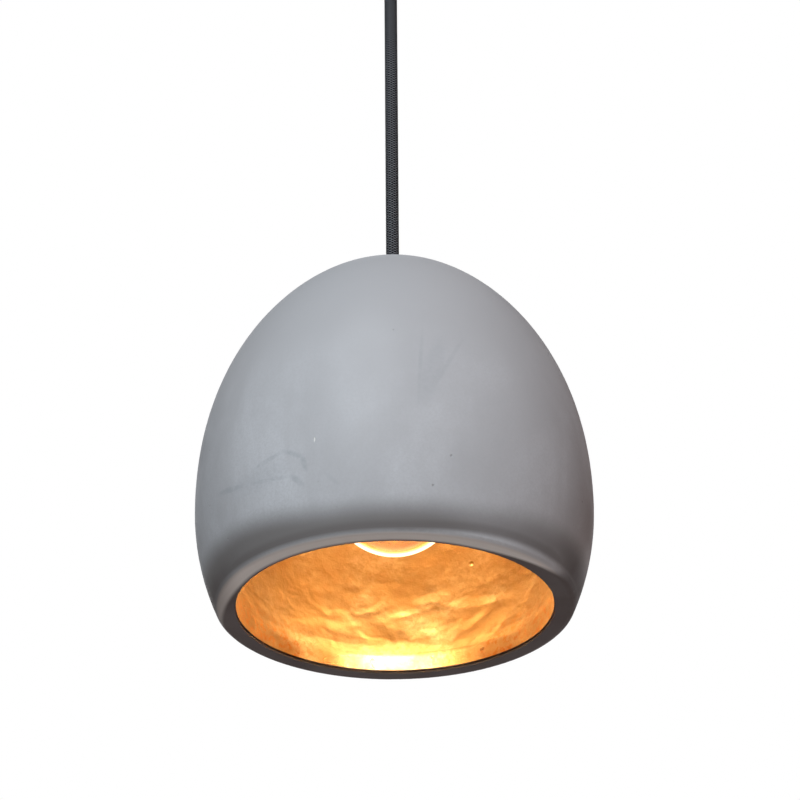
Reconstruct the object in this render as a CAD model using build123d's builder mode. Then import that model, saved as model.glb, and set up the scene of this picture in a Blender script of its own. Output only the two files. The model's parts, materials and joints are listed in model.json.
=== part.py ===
"""Pendant ceiling light: a cast concrete dome, gilded inside, hung on a textile cord from a ceiling canopy.

Millimetres, +Z up. The origin lies on the ceiling, at the middle of the bracket that is screwed to it.
"""

import os
from math import acos, cos, degrees, radians, sin, sqrt, tan

from build123d import *

os.makedirs("parts", exist_ok=True)

# Concrete shade
shade_diameter = 181.0
shade_height = 171.5
belly_height = 47.8  # widest ring, above the rim
mouth_diameter = 144.0
shade_wall = 8.3  # at the rim
crown_wall = 8.3
crown_flat_diameter = 18.0
rim_round = 3.0
mouth_round = 1.0

# Its inside is widest higher up, and ends in a straight lip
cavity_wall = 9.5  # from the outside's widest ring to the inside's
cavity_belly_height = 66.0
lip_height = 10.0

# Fullness of the dome between crown and belly: where its curve's handles stand within that span
crown_fullness = 0.258
shoulder_reach = 0.81
shoulder_lift = 0.79
belly_fullness = 0.392
cavity_shoulder_lift = 0.73
cavity_belly_fullness = 0.30

# Gold lining
lining_gap = 0.15
lining_thickness = 0.35
lining_edge = 1.2  # bare concrete above the rim

# Textile cord and how far it swings each way
cord_diameter = 6.2
cord_exposed = 170.0  # from the grip's mouth to the crown
swing_limit = 25.0
bend_radius = 2.4
bend_gap = 0.15
bend_relief = 0.6  # where the free cord ends, below the pivot

# Ceiling canopy and bracket
canopy_diameter = 100.0
canopy_depth = 30.0
canopy_wall = 1.2
canopy_round = 6.0
bracket_width = 20.0
bracket_thickness = 2.0
bracket_ear = 15.0
bracket_bend = 1.0  # inside radius of the bent ears
bracket_clearance = 0.3
slot_spacing = 50.0
slot_width = 4.6
slot_length = 12.0
side_screw_diameter = 4.0
side_screw_drop = 9.0
side_screw_head_diameter = 7.2
side_screw_head = 2.4
side_screw_run = 3.0  # past the ear
driver_slot = 0.9
driver_slot_depth = 1.2

# Cord grip under the canopy
grip_diameter = 18.0
grip_length = 14.0
grip_round = 2.0  # at the canopy
grip_lip_round = 1.0
grip_pivot_depth = 4.0  # pivot above the mouth
grip_thread_diameter = 10.0
grip_thread_length = 7.0
grip_clearance = 0.3
grip_nut_flats = 15.0
grip_nut_thickness = 3.5
grip_screw_diameter = 3.0
grip_screw_drop = 5.0
grip_screw_slot = 0.5

# Terminal block under the bracket
block_length = 32.0
block_width = 17.0
block_base = 9.0
block_round = 1.5
pole_pitch = 10.5
turret_diameter = 6.8
turret_height = 5.0
turret_spread = 9.0
tube_diameter = 5.0
tube_bore = 3.2
tube_length = 15.0
clamp_screw_diameter = 2.8
clamp_screw_recess = 1.25
block_screw_diameter = 3.0
block_screw_head_diameter = 5.6
block_screw_head = 1.8

# Conductors
lead_diameter = 2.2
lead_entry = 5.0  # how deep a lead reaches into its terminal tube
lead_turn = 14.0  # where the leads rise, beside the block
lead_spread = 1.35
cord_end_drop = 21.5  # cord's stripped end, below the ceiling
lead_level = 18.4  # level at which the leads cross under the block
earth_turn = 19.5
earth_screw_place = 37.0
earth_screw_diameter = 4.0
earth_head_diameter = 7.0
earth_head = 2.2
earth_ring_thickness = 0.8
earth_bend = 6.6
lead_bend = 3.3
lead_start_bend = 2.2

# Lampholder, hung from the crown on a hollow threaded tube
tube_thread_diameter = 10.0
tube_thread_bore = 7.2
tube_recess = 1.5  # below the crown
tube_clearance = 0.3
tube_chamfer = 0.4
washer_diameter = 40.0
washer_thickness = 1.5
washer_chamfer = 0.5
seat_margin = 0.6
nut_flats = 14.0
nut_thickness = 2.5
neck_diameter = 15.0
neck_length = 6.0
roof_depth = 8.0
cap_diameter = 39.0
cap_wall = 2.2
cap_height = 25.0
cap_shoulder = 16.0  # where the cap's dome becomes straight
neck_screw_diameter = 3.0
stop_diameter = 13.0
stop_height = 6.0
stop_slit = 1.0
stop_screw_diameter = 2.5
skirt_diameter = 38.0
skirt_length = 28.0
skirt_collar = 7.0
skirt_lip_round = 1.0
flute_count = 20
flute_diameter = 2.4
flute_margin = 5.0
block_disc_diameter = 30.2
block_disc_thickness = 5.0
block_disc_rise = 4.8  # contact block's top, above the cap's lower edge
block_disc_chamfer = 0.8
shell_diameter = 27.6
shell_wall = 0.4
shell_length = 22.0
shell_flange = 4.3
shell_clearance = 0.4
contact_length = 14.0
contact_width = 6.0
contact_thickness = 0.5
rivet_diameter = 2.4
holder_lead_diameter = 2.0
holder_lead_drop = 0.6  # cord's end below the stop
holder_lead_bend = 2.0
post_length = 5.0
post_width = 6.0
post_height = 5.0
post_round = 0.6
post_screw_depth = 1.25
post_place = 11.0
post_screw_diameter = 2.5
post_screw_head_diameter = 4.0
post_screw_head = 1.6

# Bulb
globe_diameter = 60.0
bulb_length = 104.5
glass_wall = 0.8
glass_shoulder = 38.0  # degrees above the globe's equator where the neck begins
bulb_cap_diameter = 26.0
bulb_cap_wall = 0.35
bulb_cap_reach = 26.0  # cap's lower edge, below the contact
bulb_cap_top = 3.9
bulb_cap_opening = 21.0
insulator_sink = 1.0
insulator_top_diameter = 12.0
bulb_tip_diameter = 9.6
bulb_tip_height = 1.4
bulb_tip_round = 0.8
neck_overlap = 5.0  # glass held inside the cap
stem_disc = 1.0
stem_flare = 11.0
stem_diameter = 6.4
stem_length = 33.0
bead_diameter = 7.6
bead_end_diameter = 3.8
filament_radius = 12.0
filament_drop = 46.0  # below the glass neck's end
filament_diameter = 0.9
filament_wire = 0.8
support_wire = 0.6
wire_gap = 0.2

# General fits
thread_gap = 0.05  # between threads, drawn as plain cylinders
seat_gap = 0.1

# Levels and radii that follow from the sizes above
shade_radius = shade_diameter / 2
mouth_radius = mouth_diameter / 2
crown_flat_radius = crown_flat_diameter / 2
cord_radius = cord_diameter / 2
canopy_radius = canopy_diameter / 2
canopy_inner_radius = canopy_radius - canopy_wall
grip_top_z = -canopy_depth
grip_mouth_z = grip_top_z - grip_length
pivot_z = grip_mouth_z + grip_pivot_depth
crown_z = grip_mouth_z - cord_exposed
rim_z = crown_z - shade_height
belly_z = rim_z + belly_height
cavity_radius = shade_radius - cavity_wall
cavity_belly_z = rim_z + cavity_belly_height
lip_z = rim_z + lip_height
seat_z = crown_z - crown_wall
seat_radius = washer_diameter / 2 + seat_margin
tube_radius = tube_thread_diameter / 2
washer_z = seat_z - washer_thickness
holder_z = washer_z - nut_thickness
roof_z = holder_z - roof_depth
cap_z = holder_z - cap_height
block_disc_top_z = cap_z + block_disc_rise
block_disc_z = block_disc_top_z - block_disc_thickness
tip_z = block_disc_z - contact_thickness - seat_gap
bulb_z = tip_z - bulb_length
globe_radius = globe_diameter / 2
globe_z = bulb_z + globe_radius
bulb_cap_z = tip_z - bulb_cap_reach
bulb_cap_top_z = tip_z - bulb_cap_top
neck_end_z = bulb_cap_z + neck_overlap
bracket_half = sqrt(canopy_inner_radius**2 - (bracket_width / 2) ** 2) - bracket_clearance

# The furthest lean, when both swings stand at their limits
full_lean = acos(cos(radians(swing_limit)) ** 2)
throat_radius = cord_radius / cos(full_lean) + grip_clearance
mouth_flare_radius = throat_radius + grip_pivot_depth * tan(full_lean) + grip_clearance
free_end_rise = cord_radius * sin(full_lean) - bend_relief * cos(full_lean)
fixed_end_z = pivot_z + free_end_rise + grip_clearance


def dome_curve(top_z, widest_r, widest_z, lift, fullness):
    """A dome's outline from the edge of its crown down to its widest ring."""
    reach = widest_r - crown_flat_radius
    rise = top_z - widest_z
    return Bezier(
        (crown_flat_radius, top_z),
        (crown_flat_radius + crown_fullness * reach, top_z),
        (crown_flat_radius + shoulder_reach * reach, widest_z + lift * rise),
        (widest_r, widest_z + fullness * rise),
        (widest_r, widest_z),
    )


def outside():
    """The shade's outer face from crown to rim."""
    dome_curve(crown_z, shade_radius, belly_z, shoulder_lift, belly_fullness)
    return TangentArc((shade_radius, belly_z), (mouth_radius + shade_wall, rim_z), tangent=(0, -1))


def inside(inset):
    """The shade's inner face from seat to rim, or a face set in from it."""
    widest_r = cavity_radius - inset
    lip_r = mouth_radius - inset
    dome_curve(seat_z - inset, widest_r, cavity_belly_z, cavity_shoulder_lift, cavity_belly_fullness)
    TangentArc((widest_r, cavity_belly_z), (lip_r, lip_z), tangent=(0, -1))
    return Line((lip_r, lip_z), (lip_r, rim_z))


def swept_wire(points, radii, diameter):
    """A round wire along straight runs joined by arcs."""
    with BuildPart() as wire:
        with BuildLine() as route:
            if radii:
                FilletPolyline(*points, radius=radii)
            else:
                Polyline(*points)
        with BuildSketch(Plane(origin=route.line @ 0, z_dir=route.line % 0)):
            Circle(diameter / 2)
        sweep(path=route.line)
    return wire.part


def glass_outline(radius, neck_r):
    """Half of the bulb's outline, from the lowest point of its globe to the end of its neck."""
    shoulder = radians(glass_shoulder)
    start = (radius * cos(shoulder), globe_z + radius * sin(shoulder))
    CenterArc((0, globe_z), radius, -90, 90 + glass_shoulder)
    Spline(
        start,
        (neck_r, bulb_cap_z),
        tangents=((-sin(shoulder), cos(shoulder)), (0, 1)),
    )
    Line((neck_r, bulb_cap_z), (neck_r, neck_end_z))


# Steel strip with bent ears, screwed to the ceiling through its slots
with BuildPart() as ceiling_bracket:
    with BuildSketch(Plane.XZ) as strip:
        with BuildLine():
            Polyline(
                (-bracket_half, -bracket_ear),
                (-bracket_half, 0),
                (bracket_half, 0),
                (bracket_half, -bracket_ear),
                (bracket_half - bracket_thickness, -bracket_ear),
                (bracket_half - bracket_thickness, -bracket_thickness),
                (-bracket_half + bracket_thickness, -bracket_thickness),
                (-bracket_half + bracket_thickness, -bracket_ear),
                close=True,
            )
        make_face()
        fillet(strip.vertices().group_by(Axis.Y)[-1], bracket_bend + bracket_thickness)
        inner_bends = strip.vertices().filter_by_position(Axis.Y, -bracket_thickness, -bracket_thickness)
        fillet(inner_bends, bracket_bend)
    extrude(amount=bracket_width / 2, both=True)
    with BuildSketch(Plane.XY):
        with Locations((-slot_spacing / 2, 0), (slot_spacing / 2, 0)):
            SlotOverall(slot_length, slot_width)
        with Locations((pole_pitch / 2, 0)):
            Circle(block_screw_diameter / 2 + thread_gap)
        with Locations((-earth_screw_place, 0)):
            Circle(earth_screw_diameter / 2 + thread_gap)
    extrude(amount=-bracket_thickness, mode=Mode.SUBTRACT)
    with BuildSketch(Plane.YZ):
        with Locations((0, -side_screw_drop)):
            Circle(side_screw_diameter / 2 + thread_gap)
    extrude(amount=bracket_half, both=True, mode=Mode.SUBTRACT)

# Spun steel cup that covers the bracket
with BuildPart() as canopy:
    with BuildSketch():
        Circle(canopy_radius)
    extrude(amount=-canopy_depth)
    fillet(canopy.faces().sort_by(Axis.Z)[0].edges(), canopy_round)
    offset(amount=-canopy_wall, openings=canopy.faces().sort_by(Axis.Z)[-1])
    with BuildSketch():
        Circle(grip_thread_diameter / 2 + thread_gap)
    extrude(amount=-canopy_depth, mode=Mode.SUBTRACT)
    with BuildSketch(Plane.YZ):
        with Locations((0, -side_screw_drop)):
            Circle(side_screw_diameter / 2 + seat_gap)
    extrude(amount=canopy_radius, both=True, mode=Mode.SUBTRACT)

# Two screws through the canopy's wall into the bracket's ears
with BuildPart() as canopy_screws:
    for side in (-1, 1):
        shank_start = bracket_half - bracket_thickness - side_screw_run
        with BuildSketch(Plane.YZ.offset(side * shank_start)):
            with Locations((0, -side_screw_drop)):
                Circle(side_screw_diameter / 2)
        extrude(amount=side * (canopy_radius - shank_start))
        with BuildSketch(Plane.YZ.offset(side * canopy_radius)):
            with Locations((0, -side_screw_drop)):
                Circle(side_screw_head_diameter / 2)
        extrude(amount=side * side_screw_head)
        with BuildSketch(Plane.YZ.offset(side * (canopy_radius + side_screw_head))):
            with Locations((0, -side_screw_drop)):
                Rectangle(side_screw_head_diameter, driver_slot)
        extrude(amount=-side * driver_slot_depth, mode=Mode.SUBTRACT)

# Cord grip: a bush below the canopy whose mouth flares to let the cord lean
with BuildPart() as cord_grip:
    with BuildSketch(Plane.XZ):
        with BuildLine():
            Polyline(
                (cord_radius + grip_clearance, grip_top_z + grip_thread_length + canopy_wall),
                (grip_thread_diameter / 2, grip_top_z + grip_thread_length + canopy_wall),
                (grip_thread_diameter / 2, grip_top_z),
                (grip_diameter / 2, grip_top_z),
                (grip_diameter / 2, grip_mouth_z),
                (mouth_flare_radius, grip_mouth_z),
                (throat_radius, pivot_z),
                (cord_radius + grip_clearance, fixed_end_z),
                close=True,
            )
        make_face()
    revolve(axis=Axis.Z)
    fillet(cord_grip.faces().sort_by(Axis.Z)[0].outer_wire().edges(), grip_lip_round)
    shoulder = cord_grip.edges().filter_by_position(Axis.Z, grip_top_z, grip_top_z).sort_by(SortBy.RADIUS)[-1]
    fillet(shoulder, grip_round)
    with BuildSketch(Plane.YZ):
        with Locations((0, grip_top_z - grip_screw_drop)):
            Circle(grip_screw_diameter / 2 + thread_gap)
    extrude(amount=grip_diameter, mode=Mode.SUBTRACT)

# Grub screw that holds the cord at its length
with BuildPart() as grip_screw:
    with BuildSketch(Plane.YZ.offset(cord_radius + thread_gap)):
        with Locations((0, grip_top_z - grip_screw_drop)):
            Circle(grip_screw_diameter / 2)
    extrude(amount=grip_diameter / 2 - cord_radius - thread_gap)
    with BuildSketch(Plane.YZ.offset(grip_diameter / 2)):
        with Locations((0, grip_top_z - grip_screw_drop)):
            Rectangle(grip_screw_diameter, grip_screw_slot)
    extrude(amount=-driver_slot_depth, mode=Mode.SUBTRACT)

# Nut that holds the grip in the canopy's floor
with BuildPart() as grip_nut:
    with BuildSketch(Plane.XY.offset(grip_top_z + canopy_wall)):
        RegularPolygon(grip_nut_flats / 2, 6, major_radius=False)
        Circle(grip_thread_diameter / 2 + thread_gap, mode=Mode.SUBTRACT)
    extrude(amount=grip_nut_thickness)

# Terminal block: a row of poles, each with a tunnel and two screw turrets
block_top_z = -bracket_thickness
tunnel_z = block_top_z - block_base / 2
turret_z = block_top_z - block_base - turret_height
with BuildPart() as terminal_block:
    with BuildSketch(Plane.XY.offset(block_top_z)):
        RectangleRounded(block_length, block_width, block_round)
    extrude(amount=-block_base)
    with BuildSketch(Plane.XY.offset(block_top_z - block_base)):
        with GridLocations(pole_pitch, turret_spread, 3, 2):
            Circle(turret_diameter / 2)
    extrude(amount=-turret_height)
    with BuildSketch(Plane.XZ.offset(-block_width / 2)):
        with Locations((-pole_pitch, tunnel_z), (0, tunnel_z), (pole_pitch, tunnel_z)):
            Circle(tube_diameter / 2 + thread_gap)
    extrude(amount=block_width, mode=Mode.SUBTRACT)
    with BuildSketch(Plane.XY.offset(turret_z)):
        with GridLocations(pole_pitch, turret_spread, 3, 2):
            Circle(clamp_screw_diameter / 2 + seat_gap)
    extrude(amount=turret_height + block_base / 2, mode=Mode.SUBTRACT)
    with BuildSketch(Plane.XY.offset(block_top_z)):
        with Locations((pole_pitch / 2, 0)):
            Circle(block_screw_diameter / 2 + seat_gap)
    extrude(amount=-block_base, mode=Mode.SUBTRACT)

# Brass tubes in the block's tunnels
with BuildPart() as terminal_tubes:
    with BuildSketch(Plane.XZ.offset(-tube_length / 2)):
        with Locations((-pole_pitch, tunnel_z), (0, tunnel_z), (pole_pitch, tunnel_z)):
            Circle(tube_diameter / 2)
            Circle(tube_bore / 2, mode=Mode.SUBTRACT)
    extrude(amount=tube_length)
    with BuildSketch(Plane.XY.offset(turret_z)):
        with GridLocations(pole_pitch, turret_spread, 3, 2):
            Circle(clamp_screw_diameter / 2 + thread_gap)
    extrude(amount=tunnel_z - turret_z, mode=Mode.SUBTRACT)

# Clamp screws, run down onto the leads
with BuildPart() as terminal_screws:
    screw_tip_z = tunnel_z - lead_diameter / 2 - thread_gap
    with BuildSketch(Plane.XY.offset(screw_tip_z)):
        with GridLocations(pole_pitch, turret_spread, 3, 2):
            Circle(clamp_screw_diameter / 2)
    extrude(amount=turret_z + clamp_screw_recess - screw_tip_z)

# Screw that fixes the block to the bracket
with BuildPart() as block_screw:
    with BuildSketch():
        with Locations((pole_pitch / 2, 0)):
            Circle(block_screw_diameter / 2)
    extrude(amount=block_top_z - block_base)
    with BuildSketch(Plane.XY.offset(block_top_z - block_base)):
        with Locations((pole_pitch / 2, 0)):
            Circle(block_screw_head_diameter / 2)
    extrude(amount=-block_screw_head)

# Earth screw in the bracket, with the ring of the earth lead under its head
earth_seat_z = -bracket_thickness - earth_ring_thickness
with BuildPart() as earth_screw:
    with BuildSketch():
        with Locations((-earth_screw_place, 0)):
            Circle(earth_screw_diameter / 2)
    extrude(amount=earth_seat_z)
    with BuildSketch(Plane.XY.offset(earth_seat_z)):
        with Locations((-earth_screw_place, 0)):
            Circle(earth_head_diameter / 2)
    extrude(amount=-earth_head)

lead_end_y = -block_width / 2 + lead_entry
with BuildPart() as earth_lead:
    with BuildSketch(Plane.XY.offset(-bracket_thickness)):
        with Locations((-earth_screw_place, 0)):
            Circle(earth_head_diameter / 2)
            Circle(earth_screw_diameter / 2 + seat_gap, mode=Mode.SUBTRACT)
        with Locations((-earth_screw_place, -earth_head_diameter / 2 - lead_diameter)):
            Rectangle(lead_diameter, lead_diameter * 2 + earth_ring_thickness)
    extrude(amount=-earth_ring_thickness)
    earth_start_y = -earth_head_diameter / 2 - seat_gap
    earth_z = earth_seat_z - lead_diameter / 2 + seat_gap
    earth_route = [
        (-earth_screw_place, earth_start_y, earth_z),
        (-earth_screw_place, -earth_turn, earth_z),
        (0, -earth_turn, tunnel_z),
        (0, lead_end_y, tunnel_z),
    ]
    add(swept_wire(earth_route, [earth_bend] * 2, lead_diameter))


def ceiling_lead(side):
    """A core from the cord's end, under the block and up into its outer pole on that side."""
    route = [
        (side * lead_spread, 0, -cord_end_drop),
        (side * lead_spread, 0, -lead_level),
        (side * pole_pitch, -lead_turn, -lead_level),
        (side * pole_pitch, -lead_turn, tunnel_z),
        (side * pole_pitch, lead_end_y, tunnel_z),
    ]
    return swept_wire(route, [lead_start_bend, lead_bend, lead_bend], lead_diameter)


with BuildPart() as live_lead:
    add(ceiling_lead(-1))

with BuildPart() as neutral_lead:
    add(ceiling_lead(1))

# The cord in four stretches: fixed in the grip, flexing in its mouth, hanging free, and held in the shade
with BuildPart() as cord_top:
    with BuildSketch(Plane.XY.offset(fixed_end_z)):
        Circle(cord_radius)
    extrude(amount=-cord_end_drop - fixed_end_z)
    with Locations((0, 0, pivot_z)):
        Sphere(bend_radius + bend_gap, mode=Mode.SUBTRACT)

with BuildPart() as cord_bend:
    with Locations((0, 0, pivot_z)):
        Sphere(bend_radius)

with BuildPart() as cord_drop:
    with BuildSketch(Plane.XY.offset(crown_z)):
        Circle(cord_radius)
    extrude(amount=pivot_z - bend_relief - crown_z)
    with Locations((0, 0, pivot_z)):
        Sphere(bend_radius + bend_gap, mode=Mode.SUBTRACT)

stop_z = roof_z - stop_height
cord_end_z = stop_z - holder_lead_drop
with BuildPart() as cord_tail:
    with BuildSketch(Plane.XY.offset(cord_end_z)):
        Circle(cord_radius)
    extrude(amount=crown_z - cord_end_z)

# Concrete shade: a dome with a rolled rim, a hole for the threaded tube and a flat seat under the crown
with BuildPart() as shade:
    with BuildSketch(Plane.XZ) as wall:
        with BuildLine():
            outside()
            Line((mouth_radius + shade_wall, rim_z), (mouth_radius, rim_z))
            inside(0)
            hole_r = tube_radius + tube_clearance
            Polyline(
                (crown_flat_radius, crown_z),
                (hole_r, crown_z),
                (hole_r, seat_z),
                (crown_flat_radius, seat_z),
            )
        make_face()
        rim_corners = wall.vertices().group_by(Axis.Y)[0].sort_by(Axis.X)
        fillet(rim_corners[-1], rim_round)
        fillet(rim_corners[0], mouth_round)
    revolve(axis=Axis.Z)
    with BuildSketch(Plane.XY.offset(seat_z)):
        Circle(seat_radius)
    extrude(amount=-crown_wall, mode=Mode.SUBTRACT)

# Gold leaf on the inside, from the washer to just above the rim
with BuildPart() as gold_lining:
    with BuildSketch(Plane.XZ):
        with BuildLine():
            back = lining_gap
            front = lining_gap + lining_thickness
            inside(back)
            Line((mouth_radius - back, rim_z), (mouth_radius - front, rim_z))
            inside(front)
            Line((crown_flat_radius, seat_z - back), (crown_flat_radius, seat_z - front))
        make_face()
    revolve(axis=Axis.Z)
    with BuildSketch(Plane.XY.offset(seat_z)):
        Circle(seat_radius + seat_margin)
    extrude(amount=-crown_wall, mode=Mode.SUBTRACT)
    split(bisect_by=Plane.XY.offset(rim_z + lining_edge), keep=Keep.TOP)

# Hollow threaded tube through the crown, with the washer and nut that carry the shade
with BuildPart() as threaded_tube:
    with BuildSketch(Plane.XY.offset(roof_z)):
        Circle(tube_radius)
        Circle(tube_thread_bore / 2, mode=Mode.SUBTRACT)
    extrude(amount=crown_z - tube_recess - roof_z)
    chamfer(threaded_tube.faces().sort_by(Axis.Z)[-1].edges(), tube_chamfer)

with BuildPart() as seat_washer:
    with BuildSketch(Plane.XY.offset(washer_z)):
        Circle(washer_diameter / 2)
        Circle(tube_radius + tube_clearance, mode=Mode.SUBTRACT)
    extrude(amount=washer_thickness)
    chamfer(seat_washer.faces().sort_by(Axis.Z)[0].outer_wire().edges(), washer_chamfer)

with BuildPart() as lock_nut:
    with BuildSketch(Plane.XY.offset(holder_z)):
        RegularPolygon(nut_flats / 2, 6, major_radius=False)
        Circle(tube_radius + thread_gap, mode=Mode.SUBTRACT)
    extrude(amount=nut_thickness)

# Lampholder cap: a domed cover with a threaded neck
with BuildPart() as holder_cap:
    shoulder_z = holder_z - cap_shoulder
    cap_radius = cap_diameter / 2
    with BuildSketch(Plane.XZ):
        with BuildLine():
            Polyline(
                (tube_radius + thread_gap, holder_z),
                (neck_diameter / 2, holder_z),
                (neck_diameter / 2, holder_z - neck_length),
            )
            EllipticalCenterArc(
                (neck_diameter / 2, shoulder_z),
                cap_radius - neck_diameter / 2,
                cap_shoulder - neck_length,
                start_angle=0,
                arc_size=90,
            )
            Polyline(
                (cap_radius, shoulder_z),
                (cap_radius, cap_z),
                (cap_radius - cap_wall, cap_z),
                (cap_radius - cap_wall, shoulder_z),
            )
            EllipticalCenterArc(
                (neck_diameter / 2, shoulder_z),
                cap_radius - cap_wall - neck_diameter / 2,
                cap_shoulder - roof_depth,
                start_angle=0,
                arc_size=90,
            )
            Polyline(
                (neck_diameter / 2, roof_z),
                (tube_radius + thread_gap, roof_z),
                (tube_radius + thread_gap, holder_z),
            )
        make_face()
    revolve(axis=Axis.Z)
    with BuildSketch(Plane.YZ):
        with Locations((0, holder_z - neck_length / 2)):
            Circle(neck_screw_diameter / 2 + thread_gap)
    extrude(amount=neck_diameter, mode=Mode.SUBTRACT)

# Grub screw that stops the cap from turning on the tube
with BuildPart() as neck_screw:
    with BuildSketch(Plane.YZ.offset(tube_radius + thread_gap)):
        with Locations((0, holder_z - neck_length / 2)):
            Circle(neck_screw_diameter / 2)
    extrude(amount=neck_diameter / 2 - tube_radius)

# Split collar clamped on the cord under the cap's roof, which carries the weight
with BuildPart() as cord_stop:
    with BuildSketch(Plane.XY.offset(stop_z)):
        Circle(stop_diameter / 2)
        Circle(cord_radius + thread_gap, mode=Mode.SUBTRACT)
        with Locations((0, -stop_diameter / 2)):
            Rectangle(stop_slit, stop_diameter, mode=Mode.SUBTRACT)
    extrude(amount=stop_height)
    with BuildSketch(Plane.YZ):
        with Locations((-(stop_diameter / 2 + cord_radius) / 2, stop_z + stop_height / 2)):
            Circle(stop_screw_diameter / 2 + thread_gap)
    extrude(amount=stop_diameter, both=True, mode=Mode.SUBTRACT)

with BuildPart() as stop_screw:
    stop_screw_y = -(stop_diameter / 2 + cord_radius) / 2
    with BuildSketch(Plane.YZ):
        with Locations((stop_screw_y, stop_z + stop_height / 2)):
            Circle(stop_screw_diameter / 2)
    extrude(amount=sqrt((stop_diameter / 2) ** 2 - stop_screw_y**2), both=True)

# Contact block of the lampholder, with holes for the contact's rivet
with BuildPart() as contact_block:
    with BuildSketch(Plane.XY.offset(block_disc_z)):
        Circle(block_disc_diameter / 2)
        with Locations((-contact_length / 2 + rivet_diameter, 0)):
            Circle(rivet_diameter / 2 + thread_gap, mode=Mode.SUBTRACT)
    extrude(amount=block_disc_thickness)
    chamfer(contact_block.faces().sort_by(Axis.Z)[-1].outer_wire().edges(), block_disc_chamfer)

# Spring contact for the bulb's tip
with BuildPart() as centre_contact:
    with BuildSketch(Plane.XY.offset(block_disc_z)):
        SlotOverall(contact_length, contact_width)
    extrude(amount=-contact_thickness)
    with BuildSketch(Plane.XY.offset(block_disc_z)):
        with Locations((-contact_length / 2 + rivet_diameter, 0)):
            Circle(rivet_diameter / 2)
    extrude(amount=block_disc_thickness)

# Terminal posts on the contact block and their screws
with BuildPart() as holder_posts:
    for side in (-1, 1):
        with BuildSketch(Plane.XY.offset(block_disc_top_z)):
            with Locations((side * post_place, 0)):
                RectangleRounded(post_length, post_width, post_round)
        extrude(amount=post_height)
    with BuildSketch(Plane.YZ):
        with Locations((0, block_disc_top_z + post_height / 2)):
            Circle(holder_lead_diameter / 2 + seat_gap)
    extrude(amount=post_place, both=True, mode=Mode.SUBTRACT)
    with BuildSketch(Plane.XY.offset(block_disc_top_z + post_height)):
        with Locations((-post_place, 0), (post_place, 0)):
            Circle(post_screw_diameter / 2 + thread_gap)
    extrude(amount=-post_screw_depth, mode=Mode.SUBTRACT)

with BuildPart() as post_screws:
    with BuildSketch(Plane.XY.offset(block_disc_top_z + post_height - post_screw_depth)):
        with Locations((-post_place, 0), (post_place, 0)):
            Circle(post_screw_diameter / 2)
    extrude(amount=post_screw_depth)
    with BuildSketch(Plane.XY.offset(block_disc_top_z + post_height)):
        with Locations((-post_place, 0), (post_place, 0)):
            Circle(post_screw_head_diameter / 2)
    extrude(amount=post_screw_head)


def holder_lead(side):
    """A core from the cord's end, down and out into the terminal post on that side."""
    level = block_disc_top_z + post_height / 2
    route = [
        (side * lead_spread, 0, cord_end_z),
        (side * lead_spread, 0, level),
        (side * post_place, 0, level),
    ]
    return swept_wire(route, [holder_lead_bend], holder_lead_diameter)


with BuildPart() as live_core:
    add(holder_lead(-1))

with BuildPart() as neutral_core:
    add(holder_lead(1))

# Threaded shell that takes the bulb, flanged under the contact block
with BuildPart() as screw_shell:
    shell_radius = shell_diameter / 2
    with BuildSketch(Plane.XZ):
        with BuildLine():
            Polyline(
                (shell_radius, block_disc_z),
                (shell_radius, block_disc_z - shell_length),
                (shell_radius - shell_wall, block_disc_z - shell_length),
                (shell_radius - shell_wall, block_disc_z - shell_wall),
                (shell_radius - shell_flange, block_disc_z - shell_wall),
                (shell_radius - shell_flange, block_disc_z),
                close=True,
            )
        make_face()
    revolve(axis=Axis.Z)

# Fluted skirt of the lampholder, whose collar goes up inside the cap
with BuildPart() as holder_skirt:
    skirt_radius = skirt_diameter / 2
    collar_radius = cap_radius - cap_wall - thread_gap
    ledge_radius = shell_radius + shell_clearance
    with BuildSketch(Plane.XZ) as skirt_section:
        with BuildLine():
            Polyline(
                (ledge_radius, cap_z - skirt_length),
                (skirt_radius, cap_z - skirt_length),
                (skirt_radius, cap_z),
                (collar_radius, cap_z),
                (collar_radius, cap_z + skirt_collar),
                (block_disc_diameter / 2 + thread_gap, cap_z + skirt_collar),
                (block_disc_diameter / 2 + thread_gap, block_disc_z),
                (ledge_radius, block_disc_z),
                close=True,
            )
        make_face()
        fillet(skirt_section.vertices().group_by(Axis.Y)[0], skirt_lip_round)
    revolve(axis=Axis.Z)
    with BuildSketch(Plane.XY.offset(cap_z - skirt_length + flute_margin)):
        with PolarLocations(skirt_radius + flute_diameter / 4, flute_count):
            Circle(flute_diameter / 2)
    extrude(amount=skirt_length - flute_margin * 2, mode=Mode.SUBTRACT)

# Glass envelope of the bulb
neck_radius = bulb_cap_diameter / 2 - bulb_cap_wall - thread_gap
with BuildPart() as bulb_glass:
    with BuildSketch(Plane.XZ):
        with BuildLine():
            glass_outline(globe_radius, neck_radius)
            glass_outline(globe_radius - glass_wall, neck_radius - glass_wall)
            Line((0, bulb_z), (0, bulb_z + glass_wall))
            Line((neck_radius, neck_end_z), (neck_radius - glass_wall, neck_end_z))
        make_face()
    revolve(axis=Axis.Z)

# Metal screw cap of the bulb, its insulator and its contact
with BuildPart() as bulb_cap:
    bulb_cap_radius = bulb_cap_diameter / 2
    with BuildSketch(Plane.XZ) as cap_section:
        with BuildLine():
            Polyline(
                (bulb_cap_radius - bulb_cap_wall, bulb_cap_z),
                (bulb_cap_radius, bulb_cap_z),
                (bulb_cap_radius, bulb_cap_top_z),
                (bulb_cap_opening / 2, bulb_cap_top_z),
                (bulb_cap_opening / 2, bulb_cap_top_z - bulb_cap_wall),
                (bulb_cap_radius - bulb_cap_wall, bulb_cap_top_z - bulb_cap_wall),
                close=True,
            )
        make_face()
    revolve(axis=Axis.Z)

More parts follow.
